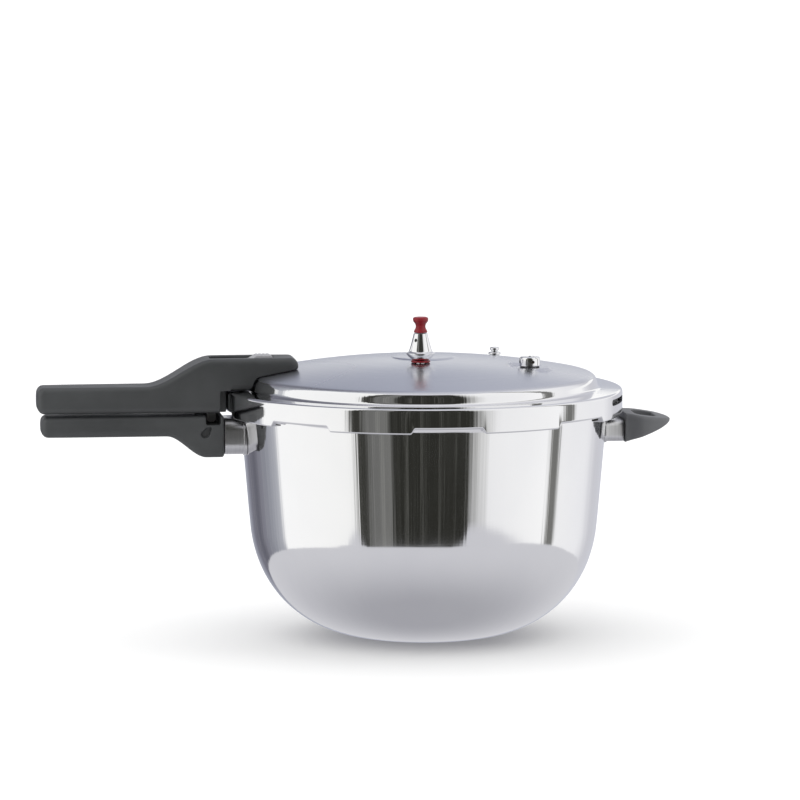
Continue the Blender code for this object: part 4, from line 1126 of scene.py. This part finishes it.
def make_world():
    """White light for everything matt, and a studio of softboxes for what shines."""
    world = bpy.data.worlds.new("studio")
    bpy.context.scene.world = world
    world.use_nodes = True
    tree = world.node_tree
    tree.nodes.clear()

    def node(kind, **settings):
        made = tree.nodes.new(kind)
        for key, value in settings.items():
            setattr(made, key, value)
        return made

    def maths(operation, *values):
        made = node("ShaderNodeMath", operation=operation)
        for socket, value in zip(made.inputs, values):
            if isinstance(value, (int, float)):
                socket.default_value = value
            else:
                tree.links.new(value, socket)
        return made.outputs[0]

    def dot(vector, axis):
        made = node("ShaderNodeVectorMath", operation="DOT_PRODUCT")
        tree.links.new(vector, made.inputs[0])
        made.inputs[1].default_value = axis
        return made.outputs["Value"]

    def ramp(factor, stops):
        made = node("ShaderNodeValToRGB")
        elements = made.color_ramp.elements
        while len(elements) < len(stops):
            elements.new(0.5)
        for element, (position, colour) in zip(elements, stops):
            element.position = position
            element.color = (*colour, 1.0)
        tree.links.new(factor, made.inputs["Fac"])
        return made.outputs["Color"]

    def mix(factor, one, two):
        made = node("ShaderNodeMix", data_type="RGBA")
        tree.links.new(factor, made.inputs["Factor"])
        for socket, value in ((made.inputs[6], one), (made.inputs[7], two)):
            if isinstance(value, tuple):
                socket.default_value = (*value, 1.0)
            else:
                tree.links.new(value, socket)
        return made.outputs[2]

    def between(value, low, high):
        made = node("ShaderNodeMapRange", interpolation_type="SMOOTHSTEP")
        made.inputs["From Min"].default_value = low
        made.inputs["From Max"].default_value = high
        tree.links.new(value, made.inputs["Value"])
        return made.outputs["Result"]

    direction = node("ShaderNodeTexCoord").outputs["Generated"]
    right, toward = view_axes()
    rise = maths("MULTIPLY", maths("ARCSINE", dot(direction, (0.0, 0.0, 1.0))), 180.0 / math.pi)
    facing = dot(direction, toward)
    round_ = maths("ARCTAN2", dot(direction, right), facing)
    share = maths("ADD", maths("DIVIDE", round_, 2 * math.pi), 0.5)

    def round_the_room(stops):
        return ramp(share, [((degrees + 180.0) / 360.0, colour) for degrees, colour in stops])

    room = round_the_room(ROOM)
    streaks = node("ShaderNodeTexNoise", noise_dimensions="1D")
    streaks.inputs["Scale"].default_value = 170.0
    tree.links.new(share, streaks.inputs["W"])
    glow = maths("MULTIPLY", between(streaks.outputs["Fac"], 0.50, 0.74), 0.075)
    room = mix(glow, room, (1.0, 1.0, 0.92))
    edge = round_the_room([(degrees, (1.0 + level / EDGE_SPAN,) * 3) for degrees, level in TABLE_EDGE])
    edge = maths("MULTIPLY", maths("SUBTRACT", edge, 1.0), EDGE_SPAN)
    above_edge = between(maths("SUBTRACT", rise, edge), -0.35, 0.35)
    table = mix(between(rise, -75.0, -20.0), TABLE_NEAR, TABLE_FAR)
    strip = maths("MULTIPLY", between(rise, 7.0, 8.2), maths("SUBTRACT", 1.0, between(rise, 13.2, 15.0)))
    strip = maths("MULTIPLY", strip, between(maths("MULTIPLY", facing, -1.0), 0.3, 0.5))
    above = mix(between(rise, 62.0, 76.0), mix(strip, room, BACK_STRIP), CEILING)
    studio = mix(above_edge, table, above)
    glossy = node("ShaderNodeLightPath").outputs["Is Glossy Ray"]
    colour = mix(glossy, (0.80, 0.80, 0.80), studio)
    background = node("ShaderNodeBackground")
    tree.links.new(colour, background.inputs["Color"])
    output = node("ShaderNodeOutputWorld")
    tree.links.new(background.outputs[0], output.inputs["Surface"])


# ---- add-on --------------------------------------------------------------------------------

def colour_setting(label, about, default):
    return FloatVectorProperty(name=label, description=about, subtype="COLOR", default=default,
                               min=0.0, max=1.0)


class CookerSettings(bpy.types.PropertyGroup):
    """Sizes and colours that a user may change before building the pieces."""
    handle_colour: colour_setting(
        "Long handles", "Colour of the two long handles", (0.056, 0.059, 0.061))
    helper_colour: colour_setting(
        "Helper handle", "Colour of the small helper handle", (0.120, 0.123, 0.130))
    slider_colour: colour_setting(
        "Thumb slider", "Colour of the lock's thumb slider", (0.42, 0.42, 0.44))
    knob_colour: colour_setting(
        "Knob and ring", "Colour of the silicone knob and ring", (0.26, 0.004, 0.012))
    floor_radius: FloatProperty(
        name="Floor radius", description="Radius of the round floor", default=60.0, min=1.0, max=500.0,
        unit="LENGTH")
    camera_distance: FloatProperty(
        name="Camera distance", description="Distance from the camera to the rim's centre",
        default=4.0, min=1.0, max=20.0, unit="LENGTH")
    camera_lens: FloatProperty(
        name="Lens", description="Focal length of the camera in millimetres", default=242.6, min=20.0,
        max=600.0, unit="CAMERA")


class COOKER_OT_pot(bpy.types.Operator):
    """Build the polished pot"""
    bl_idname = "cooker.pot"
    bl_label = "Pot body"

    def execute(self, context):
        make_pot_body()
        return {"FINISHED"}


class COOKER_OT_flame_guards(bpy.types.Operator):
    """Build the bright sleeves between the pot and its handles"""
    bl_idname = "cooker.flame_guards"
    bl_label = "Flame guards"

    def execute(self, context):
        make_flame_guard("pot_handle_sleeve", "pot_handle_flame_guard", -1, POT_HANDLE_ROOT - 0.3, 18.5,
                         RIM - 46.8, RIM - 19.9)
        make_flame_guard("helper_handle_sleeve", "helper_handle_flame_guard", 1, HELPER_ROOT - 0.3, 17.0,
                         RIM - 41.0, RIM - 25.0)
        return {"FINISHED"}


class COOKER_OT_pot_handles(bpy.types.Operator):
    """Build the lower long handle and the helper handle"""
    bl_idname = "cooker.pot_handles"
    bl_label = "Pot handles"

    def execute(self, context):
        make_pot_handle()
        make_helper_handle()
        return {"FINISHED"}


class COOKER_OT_lid(bpy.types.Operator):
    """Build the domed lid and its sealing ring"""
    bl_idname = "cooker.lid"
    bl_label = "Lid and gasket"

    def execute(self, context):
        make_lid()
        make_gasket()
        return {"FINISHED"}


class COOKER_OT_lid_handle(bpy.types.Operator):
    """Build the lid's long handle and its thumb slider"""
    bl_idname = "cooker.lid_handle"
    bl_label = "Lid handle"

    def execute(self, context):
        make_lid_handle()
        make_slider()
        return {"FINISHED"}


class COOKER_OT_regulator(bpy.types.Operator):
    """Build the regulator weight, its knob and the red gasket"""
    bl_idname = "cooker.regulator"
    bl_label = "Regulator"

    def execute(self, context):
        make_vent()
        make_regulator()
        return {"FINISHED"}


class COOKER_OT_valves(bpy.types.Operator):
    """Build the safety valve and the pressure indicator"""
    bl_idname = "cooker.valves"
    bl_label = "Safety valves"

    def execute(self, context):
        make_safety_valve()
        make_float()
        return {"FINISHED"}


class COOKER_OT_fixings(bpy.types.Operator):
    """Give the brackets, screws, nuts and other small parts their finishes"""
    bl_idname = "cooker.fixings"
    bl_label = "Fixings"

    def execute(self, context):
        dress_nodes()
        return {"FINISHED"}


class COOKER_OT_stage(bpy.types.Operator):
    """Build the floor, the lights and the camera"""
    bl_idname = "cooker.stage"
    bl_label = "Stage"

    def execute(self, context):
        settings = context.scene.cooker
        make_camera(settings.camera_distance, settings.camera_lens)
        make_floor(settings.floor_radius)
        add_sun("key_light", 1.0, math.radians(100.0), math.radians(-40.0), math.radians(58.0))
        add_sun("back_light", 0.7, math.radians(100.0), math.radians(160.0), math.radians(50.0))
        make_world()
        context.scene.view_settings.view_transform = "Standard"
        return {"FINISHED"}


OPERATORS = (COOKER_OT_stage, COOKER_OT_pot, COOKER_OT_flame_guards, COOKER_OT_pot_handles, COOKER_OT_lid,
             COOKER_OT_lid_handle, COOKER_OT_regulator, COOKER_OT_valves, COOKER_OT_fixings)


class COOKER_PT_panel(bpy.types.Panel):
    """Lists the cooker's settings and build steps"""
    bl_label = "Pressure cooker"
    bl_idname = "COOKER_PT_panel"
    bl_space_type = "VIEW_3D"
    bl_region_type = "UI"
    bl_category = "Cooker"

    def draw(self, context):
        for name in CookerSettings.__annotations__:
            self.layout.prop(context.scene.cooker, name)
        for step in OPERATORS:
            self.layout.operator(step.bl_idname)


CLASSES = (CookerSettings, *OPERATORS, COOKER_PT_panel)


def register():
    for item in CLASSES:
        bpy.utils.register_class(item)
    bpy.types.Scene.cooker = PointerProperty(type=CookerSettings)


def unregister():
    del bpy.types.Scene.cooker
    for item in reversed(CLASSES):
        bpy.utils.unregister_class(item)


def main():
    register()
    for step in OPERATORS:
        group, action = step.bl_idname.split(".")
        getattr(getattr(bpy.ops, group), action)()


if __name__ == "__main__":
    main()
